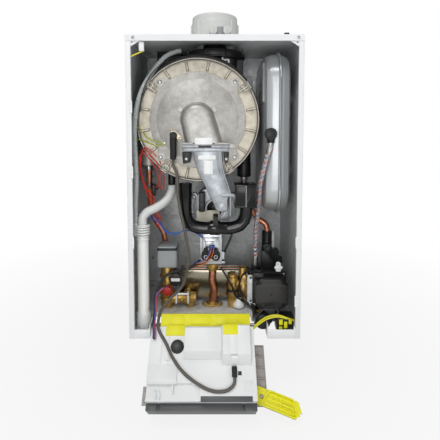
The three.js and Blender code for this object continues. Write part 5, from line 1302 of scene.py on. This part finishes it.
refined("valve_coils", "gas_coils", [epdm, plated_steel], "case", 1, coil_details)
form = bmesh.new()
block(form, -14, 0, 78, 90.2, -168, -152, 1.2)
for x in (-11.5, -8.5, -5.5, -2.5):
    block(form, x - 1, x + 1, 76.6, 80, -165, -155, 0.5)
fitted("valve_plug", form, [blue_plug], "case")
screws("valve_screws", [(x, 90.6, z) for x in (-27, 7) for z in (-191, -165)], 3.4)

# ---- Gas pipe with its union nut and floor flange ----
# Bent copper pipe from the brass union nut down through an oval brass flange, and on below the floor.


def soft_copper():
    """Drawn copper with a handled skin: pink metal, browner tarnish clouds and faint lengthwise wear."""
    made, tree, shader, where = started("copper, drawn", "#c98567", 0.34, 1.0)
    tarnish = noise(tree, where, 18, 7, 0.62)
    wear = noise(tree, where, 1.2)
    patch = ranged(tree, tarnish, 0.34, 0.66)
    two_tone(tree, shader, patch, "#9d6147", "#d69478")
    varied(tree, shader, "Roughness", tarnish, 0.5, 0.24)
    raised(tree, shader, wear, 0.02, 0.3)
    return made


def forged_brass():
    """Hot-forged brass: a yellow-brown blasted skin, duller in its hollows, brighter where it is turned."""
    made, tree, shader, where = started("brass, forged", "#c9a658", 0.38, 1.0)
    cloud = noise(tree, where, 12, 6, 0.6)
    grit = noise(tree, where, 0.6)
    patch = ranged(tree, cloud, 0.33, 0.64)
    two_tone(tree, shader, patch, "#a5813e", "#dcbc76")
    varied(tree, shader, "Roughness", cloud, 0.55, 0.3)
    raised(tree, shader, grit, 0.06, 0.4)
    return made


copper, brass = soft_copper(), forged_brass()
refined("union_nut", "gas_nut", [brass], "case", 0.8)
gas_route = [(-6, 120, -214.3), (-6, 120, -232.3), (-7, 120, -256), (-2, 120, -281), (-3, 120, -298),
             (-6, 120, -314), (-6, 120, -322)]
form = bmesh.new()
swept(form, routed(gas_route), 9.5, 32)
turned(form, corners(6, 9.5, -376, -321), gas_axis, sides=32)
long_radius, short_radius = 27.5, 14.6
oval = [
    (gas_axis[0] + x, gas_axis[1] + y * short_radius / long_radius) for x, y in ring(0, 0, long_radius, 45)]
plate(form, "plan", [oval], -321.7, -316.4, 1.2, 1)
turned(form, eased([(9.7, -316.6), (13, -316.6), (12, -311), (9.7, -311)], 0.8), gas_axis, sides=36, paint=1)
piece = fitted("gas_line", form, [copper, brass], "case")
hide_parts("gas_pipe")


def tail_nut(form, x, q):
    """A hexagon nut with rounded corners at the lower end of a pipe stub, open below."""
    wall = [(9.6, -376), (14, -376), (15, -374.6), (15, -363.4), (14, -362), (9.6, -362)]
    turned(form, eased(wall, 0.6, 2), (x, q, 0), sides=6)


form = bmesh.new()
tail_nut(form, *gas_axis[:2])
fitted("gas_tail_nut", form, [brass], "case")
screws("flange_screws", [(-25, 120, -316.2), (13, 120, -316.2)], 4, facing=UP)

# ---- Plate heat exchanger ----
# Pressed stainless plates brazed with copper, which shows as a thin line in each seam.
plate_steel = bright_steel("stainless steel, bright-rolled", "#7f796c", "#9b9483", 0.2)
refined("brazed_plates", "plate_heat_exchanger", [plate_steel], "case", 1.6)
form = bmesh.new()
for q in (145, 154, 163, 172):
    outline = eased(corners(-94, 94, -307, -236), 12)
    plate(form, "front", [outline], q - 0.5, q + 0.5, 0.3)
fitted("brazing_seams", form, [copper], "case")

# ---- Left hydraulic block with its diverter, sensor and relief knob ----
# Forged brass with spring clips. A grey motor turns the diverter, a black sensor reads the pressure, and the
# red lobed knob opens the relief valve.


def diverter_details(form):
    # the black band round the grey motor
    low, high = -163, -156
    for z in (low, high):
        whole = form.verts[:] + form.edges[:] + form.faces[:]
        bmesh.ops.bisect_plane(form, geom=whole, plane_co=place(0, 0, z), plane_no=UP)
    for face in form.faces:
        face.material_index = int(low < 1000 * face.calc_center_median().z < high)


def block_details(form):
    for z in (-300, -240):
        hoop(form, 16, 18.6, z - 3, z + 3, 0.8, (-124.7, 115, 0))
    for x in (-96, -86):
        peg(form, (x, 101, -300), OUT, 4, -1, 5, 0.6, 6)


refined("left_brass_block", "left_hydroblock", [brass], "case", 1, block_details)
refined("diverter_drive", "diverter_motor", [grey_abs, black_pp], "case", 2.4,
        diverter_details)
refined("diverter_stem", "diverter_spindle", [plated_steel], "diverter_spindle", 0.5)
refined("pressure_cell", "pressure_sensor", [black_pp], "case", 1.2)
knob_red = moulded("red polyamide, moulded", "#a01f18", "#bd2a20", 0.38)
refined("relief_handle", "relief_knob", [knob_red], "relief_knob", 0.9)
form = bmesh.new()
plate(form, "front", [eased(corners(-110, -88, -242, -234), 1)], 76.2, 76.7, 0.1)
fitted("sensor_label", form, [label_film], "case")
form = bmesh.new()
for x in (-98, -68):
    block(form, x - 2, x + 2, 84, 100, -304, -276, 1.4)
block(form, -100, -66, 82, 86, -280, -275, 1.6)
fitted("block_clip", form, [white_nylon], "case")
form = bmesh.new()
for x, q in ((-124.7, 115), (-62.7, 115), (47, 115), (118, 128)):
    tail_nut(form, x, q)
    hoop(form, 9.7, 16, -333, -346, 0.8, (x, q, 0), sides=36)
fitted("tail_nuts", form, [brass], "case")

# ---- Right hydraulic block ----
# Forged brass between the plate exchanger and the pump, with a black seal, a filter cap and a white cone.
refined("right_brass_block", "right_hydroblock", [brass], "case", 1)
form = bmesh.new()
hoop(form, 13.4, 15.6, -281, -275, 1, (47, 115, 0), paint=1)
turned(form, eased([(0, -318), (15, -318), (14, -311), (8, -304), (6, -296), (0, -296)], 1.5, closed=False),
       (62, 102, 0), sides=36, paint=0)
peg(form, (47, 115, -244), UP, 11.4, 0, 5, 1, 6, 2)
peg(form, (74.7, 99.5, -238), OUT, 6.5, -3, 7, 1, 6, 2)
fitted("right_block_trim", form, [white_nylon, epdm, brass], "case")

# ---- Pump ----
# A moulded volute behind a black motor head with rounded, notched corners and a button in its middle.
# The manifold above it carries the air vent with its cross wheel.


head_x, head_z = 138, -261


def pump_details(form):
    for x in (95, 174):
        for z in (-309, -226):
            block(form, x, x + 7, 78, 84, z, z + 7, 2)
    face = [(-38, -24), (-26, -24), (-24, -26), (-24, -36), (24, -36), (24, -26), (26, -24), (38, -24),
            (38, 24), (26, 24), (24, 26), (24, 36), (-24, 36), (-24, 26), (-26, 24), (-38, 24)]
    plate(form, "front", [eased([(head_x + a, head_z + b) for a, b in face], 6)], 41.6, 44, 0.8, 2)
    peg(form, (head_x, 42, head_z), OUT, 3.4, -1, 0.8, 0.3, 24)
    for k in range(5):
        block(form, 176.4, 178.4, 50, 80, -292 + 12 * k, -286 + 12 * k, 0.8)


motor_black = moulded("polyamide, glass-filled", "#222120", "#2d2c2a", 0.5, 1.2, 0.06)
refined("pump_motor", "pump_head", [black_pp, grey_abs, motor_black], "case", 2.4,
        pump_details)
refined("pump_casing", "pump_volute", [black_pp], "case", 1.6)
refined("pump_wheel", "pump_rotor", [plated_steel], "pump_rotor", 0.5)
refined("pump_riser", "pump_manifold", [black_pp], "case", 1.2)
refined("vent_wheel", "air_vent_cap", [black_pp], "air_vent_cap", 0.8)
screws("pump_screws", [(x, 81, z) for x in (100.5, 175.5) for z in (-303.5, -224.5)], 4)
form = bmesh.new()
plate(form, "front", [eased([(84, -228), (99, -228), (99, -308), (90, -308), (84, -296)], 2),
                      ring(91.5, -236, 3), ring(91.5, -296, 3)], 84, 86, 0.5)
plate(form, "side", [eased(corners(84, 116, -300, -232), 3)], 83, 85, 0.5)
plate(form, "front", [eased(corners(139, 160, -205, -132), 2), ring(149.5, -142, 3.2), ring(149.5, -156, 3.2),
                      ring(149.5, -194, 3.2)], 150, 152, 0.5)
fitted("pump_brackets", form, [zinc], "case")
form = bmesh.new()
peg(form, (157, 66, -193), OUT, 6, 0, 6, 1.2, 32, 0, 2, 5)
block(form, 147.5, 168, 60.5, 68, -206, -198, 3.2)
block(form, 151, 164, 61.5, 67.5, -212, -194, 2)
fitted("pump_clip", form, [white_nylon], "case")
form = bmesh.new()
plug_x, plug_z = 116, -322
plug = eased([(0, 22), (15, 22), (19, 26), (19, 48), (0, 48)], 3, closed=False)
turned(form, plug, (plug_x, 0, plug_z), IN, 48)
studs(form, plug_x, plug_z, 13, range(0, 360, 45), 1.5, 20.4, 24, 0.6)
block(form, 147, 190, 22, 52, -343, -306, 4)
block(form, 152, 185, 19, 24, -338, -311, 2)
yellow_abs = moulded("yellow ABS, moulded", "#dcd806", "#ebe60a", 0.5)
tabs = [(153, 162, -326, -312), (165, 173, -334, -318), (176, 184, -324, -312), (153, 161, -337, -330)]
for x0, x1, z0, z1 in tabs:
    block(form, x0, x1, 17.8, 20, z0, z1, 1.4, 1)
fitted("wiring_connectors", form, [black_pp, yellow_abs], "case")

# ---- Expansion vessel with its elbow ----
# A flat steel vessel, rolled along its seam and painted silver grey, held by two straps to the right side.
# Water reaches it through a black elbow on its lower dome.


def silver_paint():
    """Metallic silver-grey paint: fine flake under a soft gloss, and slight waves of the pressed sheet."""
    made, tree, shader, where = started("silver-grey paint on steel", "#b4b7b9", 0.32, 0.4, Coat_Weight=0.2)
    flake = noise(tree, where, 0.8)
    wave = noise(tree, where, 70)
    two_tone(tree, shader, flake, "#a4a8aa", "#c2c5c7")
    raised(tree, shader, wave, 0.8, 0.35)
    return made


vessel_low, vessel_high = span("expansion_vessel")
elbow_x, elbow_height = 130, 129


def vessel_outline(margin):
    """The vessel's outline in depth and height, a margin inside the node's edge."""
    q0, q1, r = 38 + margin, 264 - margin, 64 - margin
    z0, z1 = vessel_low[2] + margin, vessel_high[2] - margin
    arcs = ((q1 - r, z1 - r), (q0 + r, z1 - r), (q0 + r, z0 + r), (q1 - r, z0 + r))
    return [spot for k, (a, b) in enumerate(arcs) for spot in ring(a, b, r, 12, 90 * k, 90 * k + 90)]


def vessel_details(form):
    # the rolled seam's round edge, and a darker grey band on each side of it: the painted shade of a groove
    plate(form, "side", [vessel_outline(0)], 152.8, 157.6, 1.6)
    # the grey bands are painted shade, not a part of their own
    for x in (151, 158.4):
        plate(form, "side", [vessel_outline(1.6)], x, x + 1, 0.3, 1)
    block(form, 150, 161, 148, 154, vessel_high[2] - 3, vessel_high[2] + 3.5, 1)
    peg(form, (elbow_x, 35.5, elbow_height), OUT, 9.5, -3, 1, 1, 6)


vessel_paint = silver_paint()
refined("pressure_vessel", "expansion_vessel", [vessel_paint, grey_abs], "case", 0.8,
        vessel_details)
refined("vessel_bend", "vessel_elbow", [black_pp], "case", 1.2)
form = bmesh.new()
for z in (123, 115.5, 110):
    hoop(form, 8, 10, z - 1.4, z + 1.4, 0.5, (elbow_x, 25.7, 0), sides=36)
turned(form, eased([(9, 15.2), (12.4, 15.2), (13.4, 16.8), (9, 16.8)], 0.5), (elbow_x, 0, elbow_height), IN,
       40)
fitted("elbow_rings", form, [black_pp], "case")
form = bmesh.new()
plate(form, "side", [eased(corners(60, 124, 205, 300), 3)], 117.2, 117.9, 0.1)
fitted("vessel_label", form, [label_film], "case")

# ---- Flow and return pipes ----
# Bent copper pipes under the exchanger, each with a steel union at its top, and the temperature sensor
# clipped on the flow pipe with an orange ring.
pipe_routes = {"flow_pipe": [(-166, 100, 49.7), (-166, 100, 32), (-167, 120, -38), (-162, 146, -93),
                             (-138.7, 152, -134), (-132.7, 152, -172), (-132.7, 152, -227.7)],
               "return_pipe": [(77.5, 150, 15.7), (77.5, 150, -3), (83.5, 150, -38), (103.5, 144, -81),
                               (115.7, 138, -96), (133.7, 133, -109), (137.7, 132, -122), (137.7, 132, -138)]}
orange = moulded("orange silicone, moulded", "#c25a1c", "#db6d28", 0.5)
for source, points in pipe_routes.items():
    form = bmesh.new()
    path = routed(points, 4)
    swept(form, path, 7.5, 28)
    collar = [path[0].lerp(path[3], k / 6) for k in range(7)]
    swept(form, collar, lambda t: 9.6 if 0.1 < t < 0.9 else 8.6, 28, 1)
    piece = fitted(f"copper_{source}", form, [copper, plated_steel], "case")
    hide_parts(source)
form = bmesh.new()
path = routed(pipe_routes["flow_pipe"], 4)
swept(form, [path[12].lerp(path[15], k / 6) for k in range(7)], 9.4, 28)
swept(form, [path[15].lerp(path[17], k / 4) for k in range(5)], 9.8, 28, 1)
block(form, -158, -150, 88, 112, -28, 2, 2, 2)
for z in (-14, -6):
    block(form, -152, -144, 94, 106, z, z + 5, 1.2, 2)
fitted("flow_sensor", form, [plated_steel, orange, black_pp], "case")

# ---- Siphon ----
# A milky moulded trap with a bellows at its head and a wide sump, over a black cup that pulls off.
milky_body = moulded("polypropylene, milky", "#dddfdd", "#ecedeb", 0.36)
trap_x, trap_depth = -173.5, 45


def trap_details(form):
    for z in (-92, -98, -104, -110):
        fold = [(13, z - 2.6), (17.4, z - 1.6), (17.4, z + 1.6), (13, z + 2.6)]
        turned(form, eased(fold, 1.2), (trap_x, trap_depth, 0), sides=48)
    for z in (-116, -124):
        hoop(form, 13, 15.4, z - 1.4, z + 1.4, 0.7, (trap_x, trap_depth, 0), sides=48)


refined("siphon_trap", "siphon_body", [milky_body], "case", 1, trap_details)
refined("siphon_cap", "siphon_cup", [black_pp], "siphon_cup", 1.2)

# ---- Control box's rear cover ----
# White moulded ABS, which faces the front now that the box hangs open: raised bays over the board's tall
# parts, a recess for the cables, a latch slot and cooling slots along its edge.


def swung(form, drawn):
    """Adds to a form what was drawn on the closed box, turned down to where the box hangs."""
    bmesh.ops.transform(drawn, matrix=box_turn, verts=drawn.verts)
    mesh = bpy.data.meshes.new("drawn")
    drawn.to_mesh(mesh)
    drawn.free()
    form.from_mesh(mesh)
    bpy.data.meshes.remove(mesh)


white_abs = moulded("white ABS, moulded", "#d9dbdb", "#e9eaea", 0.42)


def cover_details(form):
    drawn = bmesh.new()
    for x in (-120, -104):
        block(drawn, x - 1.2, x + 1.2, 64.4, 66.2, -300, -215, 0.8)
    for x0, x1, z0, z1 in ((-24, 0, -264.5, -261), (30, 42, -250, -246)):
        block(drawn, x0, x1, 70, 76, z0, z1, 1.2)
    block(drawn, 50.5, 58.5, 63.6, 65.6, -226, -218, 0.8, 1)
    block(drawn, -30, 80, 58, 65.7, -179, -169, 1.2, 2)
    centre_bay = [(66, -314.6), (80, -314.6), (82, -312), (82, -263), (81, -261.6), (68.4, -249), (66, -249)]
    right_bay = [(66, -318), (84, -318), (86, -316), (86, -256), (85, -254.6), (69, -239), (66, -239)]
    left_rise = [(64.6, -238), (65.8, -238), (71.2, -209), (71, -206.6), (65.8, -201), (64.6, -201)]
    plate(drawn, "side", [centre_bay], -68.4, 16, 1)
    plate(drawn, "side", [left_rise], -146.4, -82, 0.8)
    plate(drawn, "side", [right_bay], 16.4, 35, 1)
    plate(drawn, "side", [right_bay], 50, 79.8, 1)
    plate(drawn, "side", [right_bay[:4] + [(66, -252)]], 34, 51, 1)
    for x in (-126, -118):
        block(drawn, x - 2, x + 2, 64, 68, -186, -176, 1)
    block(drawn, -110, -82, 64.5, 68, -250, -246.5, 1.2)
    block(drawn, -92, -88, 64.5, 69, -200, -186, 1.2)
    for k in range(6):
        block(drawn, 62 + 4.2 * k, 64 + 4.2 * k, 64.5, 66, -208, -186, 0.7)
    swung(form, drawn)


dark_abs = moulded("dark grey ABS, moulded", "#444547", "#525355", 0.45)
refined("box_cover", "box_rear_cover", [white_abs, black_pp, dark_abs], "control_box", 2.2,
        cover_details)

# ---- Control box's fascia ----
# The grey moulded front with its ribbed wing, its lamp window and the dials' seats. It faces down here, so
# its front follows other boilers of this kind.
wing_abs = moulded("grey-brown ABS, moulded", "#9a9490", "#aca6a1", 0.5)
dial_height = -255


def wing_paint(form):
    for face in form.faces:
        spot = box_turn.inverted() @ face.calc_center_median()
        if spot.x * 1000 > 89.5 and spot.z * 1000 > -299 or spot.x * 1000 < -148.5:
            face.material_index = 1
    drawn = bmesh.new()
    outline = eased(corners(-30, 48, -220, -188), 6)
    plate(drawn, "front", [outline], -15.9, -14.6, 0.4, 2)
    for x in (-20, 38):
        hoop(drawn, 20, 22.5, -15.8, -14.5, 0.4, (x, 0, dial_height), IN, 56, 2)
        studs(drawn, x, dial_height, 27, range(225, -46, -27), 0.8, -15.4, -14.6, 0.3, 3)
    swung(form, drawn)


window_black = moulded("black acrylic, polished", "#0b0c0d", "#111213", 0.1, 0.4, 0.004)
refined("box_front", "box_fascia", [dark_abs, wing_abs, window_black, white_nylon], "control_box",
        1.4, wing_paint)
screws("ear_screws", [(-157, -12, -202), (-157, -12, -182)], 4.4, "control_box", facing=IN, turn=box_turn)
form, drawn = bmesh.new(), bmesh.new()
for x in (-126, -110, 62, 74):
    block(drawn, x - 5, x + 5, -6.2, 8, -172, -166.5, 1.2)
    block(drawn, x - 3, x + 3, -7, 4, -168, -164.5, 0.8)
# the frame's deep edge along the box's end, with its notches
edge_line = [(-148, -15), (91, -15), (91, 38), (64, 38), (64, 33), (58, 33), (58, 38), (-118, 38), (-118, 33),
             (-124, 33), (-124, 38), (-148, 38)]
plate(drawn, "plan", [eased(edge_line, 2, 2)], -170.2, -156, 1.4, 1)
swung(form, drawn)
fitted("box_catches", form, [black_pp, dark_abs], "control_box")

# ---- Access flap ----
# The yellow moulded flap over the terminals, with arrow-shaped ribs that stiffen it.


def flap_details(form):
    drawn = bmesh.new()
    for x in (-96, -34, 18, 52):
        for reach in (0, 9):
            arrow = [(x - 11, -327 - reach), (x, -336 - reach), (x + 11, -327 - reach),
                     (x + 11, -330 - reach), (x, -339 - reach), (x - 11, -330 - reach)]
            plate(drawn, "front", [arrow], 61.4, 62.7, 0.4)
    for z in (-323, -348):
        block(drawn, -122, 78, 61.4, 62.6, z - 0.7, z + 0.7, 0.4)
    swung(form, drawn)


refined("box_flap", "box_access_plate", [yellow_abs], "control_box", 1.2, flap_details)
form, drawn = bmesh.new(), bmesh.new()
block(drawn, -113, -69, 65.2, 66.6, -322, -299, 0.6)
block(drawn, 18, 52, 85.8, 87.2, -318, -296, 0.6)
swung(form, drawn)
fitted("flap_lips", form, [yellow_abs], "control_box")

# ---- Main board, its terminal and the gauge ----
# A green epoxy board with its transformer, relays and capacitor, hidden under the cover. The gauge's dial is
# blank, with a black pointer.


def solder_mask():
    """Green solder mask over copper tracks: a glossy skin with darker and lighter tracks 2 mm apart."""
    made, tree, shader, where = started("epoxy board, green solder mask", "#2c6b45", 0.3, IOR=1.55)
    tracks = node(tree, "ShaderNodeTexWave", {"Vector": where, "Scale": 1000 / 12, "Distortion": 3.0})
    edge = ranged(tree, tracks.outputs["Fac"], 0.45, 0.55)
    two_tone(tree, shader, edge, "#24583a", "#33784e")
    raised(tree, shader, edge, 0.03, 0.5)
    return made


board_green = solder_mask()
gauge_x, gauge_height = -84.8, -276


def board_paint(form):
    for face in form.faces:
        depth = 1000 * (box_turn.inverted() @ face.calc_center_median()).y + case_depth
        face.material_index = int(depth < 25.9)


refined("control_board", "main_board", [board_green, black_pp], "control_box", 0.5,
        board_paint)
refined("ignition_post", "ignition_terminal", [epdm], "control_box", 0.6)


def gauge_details(form):
    drawn = bmesh.new()
    turned(drawn, corners(0, 17.6, -20.6, -19.4), (gauge_x, 0, gauge_height), IN, 56, 1)
    studs(drawn, gauge_x, gauge_height, 14.5, range(210, -31, -30), 0.6, -21, -20.4, 0)
    block(drawn, gauge_x - 0.6, gauge_x + 0.6, -21.6, -20.8, gauge_height - 1, gauge_height + 12, 0.3)
    peg(drawn, (gauge_x, -20.5, gauge_height), OUT, 2.4, 0, 1.6, 0.4, 20)
    swung(form, drawn)


refined("water_gauge", "pressure_gauge", [black_pp, label_film], "control_box", 0.8,
        gauge_details)

# ---- Knobs and reset button ----
# Two grey moulded dials with finger flutes and a raised pointer, and a round reset button.


def dial(name, knob):
    """A dial: its node's own shape, with flutes set round its rim and turned down with the box."""
    refined(name, knob, [pale_abs], knob, 1.1)
    x = sum(c[0] for c in span(knob)) / 2
    flute = bmesh.new()
    block(flute, -0.8, 0.8, -30.5, -17, 17.4, 18.8, 0.6)
    flutes = around(f"{name}_flutes", flute, 28, (x, 0, dial_height), grey_abs, knob)
    flutes.data.transform(box_turn)


dial("heating_dial", "heating_knob")
dial("water_dial", "water_knob")
refined("reset_key", "reset_button", [pale_abs], "reset_button", 0.8)

# ---- Clamp lever ----
# A yellow moulded lever that turns on a stud of the wing: a tray with a deep rim, ribs along it and a hook at
# its tip. The rim starts clear of the box's side, which the lever's inner end turns under.
stud_x, stud_z, lever_tilt = 105.2, -189, -20
lever_turn = box_turn @ laid(stud_x, stud_z, lever_tilt)
form = bmesh.new()
tray = eased([(-20, -17.8), (72, -17.8), (85, 17.8), (-7.5, 17.8)], 6)
plate(form, "front", [tray, ring(0, 0, 4.5)], -6.7, -2.4, 0.5)
rim_outside = eased([(11, -17.8), (72, -17.8), (85, 17.8), (1, 17.8)], 6)
rim_inside = eased([(14, -14.6), (69.5, -14.6), (80.5, 14.6), (5, 14.6)], 4)
plate(form, "front", [rim_outside, rim_inside], -6.6, 4.3, 0.7)
for x0, x1, z in ((14, 76, -5), (12, 76, 5)):
    block(form, x0, x1, -4, 1.4, z - 1.1, z + 1.1, 0.7)
block(form, 43, 45.4, -4, 0.6, -5, 5, 0.6)
block(form, 48, 74, -4, -0.6, -3, 3, 0.8)
hook = [(68, -12), (75, -18), (81, -17), (94, 3), (87, 2), (90, 9), (84, 11), (74, 8)]
plate(form, "front", [eased(hook, 1.4)], -6.4, -1.2, 0.7)
bmesh.ops.transform(form, matrix=lever_turn, verts=form.verts)
piece = fitted("yellow_lever", form, [yellow_abs], "clamp_lever")
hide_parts("clamp_lever")

# ---- Wires ----
# PVC-insulated wires between the sensors, the valve, the pump and the control box, tied only here and there.


def wire(name, points, radius, finish, slot="black_plastic"):
    """A wire along given points (x, q, z)."""
    path = routed(points)
    form = bmesh.new()
    swept(form, path, radius, 10)
    piece = fitted(name, form, [finish], "case", 60)


green_wire = insulation("PVC insulation, green and yellow", "#8a9a2a", "#a9b83a")
orange_wire = insulation("PVC insulation, orange", "#c4621c", "#dd7828")
yellow_wire = insulation("PVC insulation, yellow", "#c9c21e", "#e2dc30")
wire("earth_wire_upper", [(-121, 42, 107), (-140, 40, 111), (-158, 44, 118), (-178, 52, 140),
                          (-194, 60, 152)], 1.5, green_wire, "yellow_plastic")
wire("earth_wire_lower", [(-120, 41, 104), (-136, 38, 101), (-152, 42, 106), (-176, 50, 114),
                          (-194, 58, 118)], 1.5, green_wire, "yellow_plastic")
for k, spread in enumerate((0, 6, 12)):
    wire(f"sensor_wire_{k + 1}", [
        (-152 + spread, 92, -6), (-140 + spread, 78, 4 - spread), (-138 + spread, 62, 30 + spread),
        (-150 + spread, 48, 60 + spread), (-172 + spread / 2, 46, 84 + spread), (-183 + spread / 3, 58, 62),
        (-180 + spread / 2, 74, 20 - spread), (-166 + spread, 84, -28), (-150 + spread, 86, -62 - spread),
        (-146 + spread, 84, -106)], 1.2, red_wire, "red_plastic")
for k in range(2):
    wire(f"valve_wire_{k + 1}", [(-192, 66, -62 - 8 * k), (-170, 64, -66 - 8 * k), (-140, 70, -84 - 6 * k),
         (-120, 72, -112 - 4 * k), (-98, 74, -118 - 3 * k), (-74, 78, -112), (-50, 84, -116 - 3 * k),
         (-30, 86, -130 - 4 * k)], 1.2, blue_wire, "grey_plastic")
for k, (x, finish) in enumerate(((-11.5, blue_wire), (-8.5, orange_wire), (-5.5, black_wire),
                                 (-2.5, orange_wire))):
    wire(f"plug_wire_{k + 1}", [
        (x, 76.4, -156), (x - 1, 71, -160 - k), (x - 4, 70, -170 - k), (x - 14, 70, -184 - 2 * k),
        (x - 30, 72, -192 - 2 * k), (-52 + k, 78, -194 - 3 * k)], 1.1, finish)
wire("pump_cable", [(115, 60, -210), (104, 66, -212), (76, 90, -226), (64, 95, -250), (68, 97, -279),
                    (84, 95, -296), (95, 80, -306), (100, 58, -314), (101, 44, -320)], 2.6, black_wire)
wire("valve_cable", [(16, 96, -214), (30, 94, -236), (44, 95, -262), (56, 97, -290), (76, 97, -304),
                     (95, 86, -314), (100, 58, -326), (101, 32, -330)], 2.6, black_wire)
wire("supply_cable", [(134, 24, -322), (140, 18, -306), (150, 16, -294), (146, 24, -286), (128, 34, -288),
                      (112, 34, -300), (100, 30, -312)], 2.4, black_wire)
for k in range(2):
    wire(f"earth_bundle_{k + 1}", [
        (93, 14 + 5 * k, -331 - 4 * k), (104, 16, -318 - 5 * k), (126, 14, -303 - 5 * k),
        (148, 13, -299 - 4 * k), (170, 14 + k, -306 - 2 * k), (190, 20 + 5 * k, -316)], 2.0, yellow_wire,
        "yellow_plastic")
wire("fan_cable", [(40, 108, -96), (46, 112, -112), (44, 112, -132), (36, 108, -152), (28, 106, -168),
                   (26.4, 106, -176)], 3, black_wire)
wire("vent_wire", [(-61, 96, 318), (-96, 70, 312), (-128, 56, 292), (-154, 46, 262), (-170, 40, 222),
                   (-176, 38, 180)], 1.3, black_wire)

# ---- Studio: floor, light and camera ----
# A plain pale floor under the hanging boiler, a soft key light from the upper left, a fill from the right and
# a front light that reaches into the case.
# The camera stands about 0.9 m in front of the case, turned slightly down, as the photographer's did.
floor_gap = 0.02
bpy.ops.mesh.primitive_plane_add(size=12, location=(0, 0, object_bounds()[0].z - floor_gap))
floor = bpy.context.object
floor.name = "studio_floor"


def rays(tree):
    """Camera rays, and camera, glossy and transmitted rays together."""
    ray = node(tree, "ShaderNodeLightPath").outputs
    seen = maths(tree, "MAXIMUM", ray["Is Camera Ray"], ray["Is Glossy Ray"])
    return ray["Is Camera Ray"], maths(tree, "MAXIMUM", seen, ray["Is Transmission Ray"])


def studio_paper():
    """Pale paper: matt, and white to the camera and in reflections, greyer near the boiler: a painted shadow,
    through which part of the real shadow shows.
    """
    made, tree, shader, where = started("studio paper", "#c9c9c9", 0.9)
    through = rays(tree)[1]
    away = node(tree, "ShaderNodeVectorMath", {0: where}, operation="LENGTH")
    # the white share falls near the boiler: a painted shadow, by distance alone
    white_share_with_painted_shadow = ranged(tree, away.outputs["Value"], 0.3, 1.4, 0.84, 1.0)
    share = maths(tree, "MULTIPLY", through, white_share_with_painted_shadow)
    white = node(tree, "ShaderNodeEmission", {"Color": (1, 1, 1, 1), "Strength": 1.0})
    mix = node(tree, "ShaderNodeMixShader", {0: share, 1: shader.outputs[0], 2: white.outputs[0]})
    tree.links.new(mix.outputs[0], tree.nodes["Material Output"].inputs["Surface"])
    return made


floor.data.materials.append(studio_paper())

world = bpy.data.worlds.new("studio air")
world.use_nodes = True
bpy.context.scene.world = world
air = world.node_tree
by_camera, through = rays(air)
dim, bright = 0.38, 0.5
shine = ranged(air, through, 0.0, 1.0, dim, bright)
level = maths(air, "MAXIMUM", shine, by_camera)
air.links.new(level, air.nodes["Background"].inputs["Strength"])
air.nodes["Background"].inputs["Color"].default_value = (1, 1, 1, 1)


def lamp(name, spot, aim, width, height, watts):
    """A soft box at a spot, turned towards its aim."""
    light = bpy.data.lights.new(name, "AREA")
    light.shape, light.size, light.size_y, light.energy = "RECTANGLE", width, height, watts
    box = bpy.data.objects.new(name, light)
    box.location = spot
    box.rotation_euler = (Vector(aim) - Vector(spot)).to_track_quat("-Z", "Y").to_euler()
    bpy.context.scene.collection.objects.link(box)


lamp("key_light", (-0.5, -1.7, 2.2), (0, -0.2, 0), 0.9, 0.9, 28)
lamp("fill_light", (1.5, -2.1, 0.3), (0, -0.2, -0.1), 0.5, 1.4, 6)
lamp("front_light", (-0.15, -2.3, 0.15), (0, 0, -0.05), 0.7, 1.0, 12)

camera_distance = 882.5  # in front of the case's front plane
camera_x, camera_height = -0.7, 133
tilt = 4  # degrees down
focal_pixels = 390.3
image_pixels = 440
sensor = 36
view = bpy.data.cameras.new("camera")
view.sensor_width = sensor
view.lens = focal_pixels / image_pixels * sensor
view.shift_x, view.shift_y = 0.0125, -0.1377
camera = bpy.data.objects.new("camera", view)
camera.location = place(camera_x, -camera_distance, camera_height)
camera.rotation_euler = (math.radians(90 - tilt), 0, 0)
bpy.context.scene.collection.objects.link(camera)
bpy.context.scene.camera = camera
bpy.context.scene.view_settings.view_transform = "Standard"
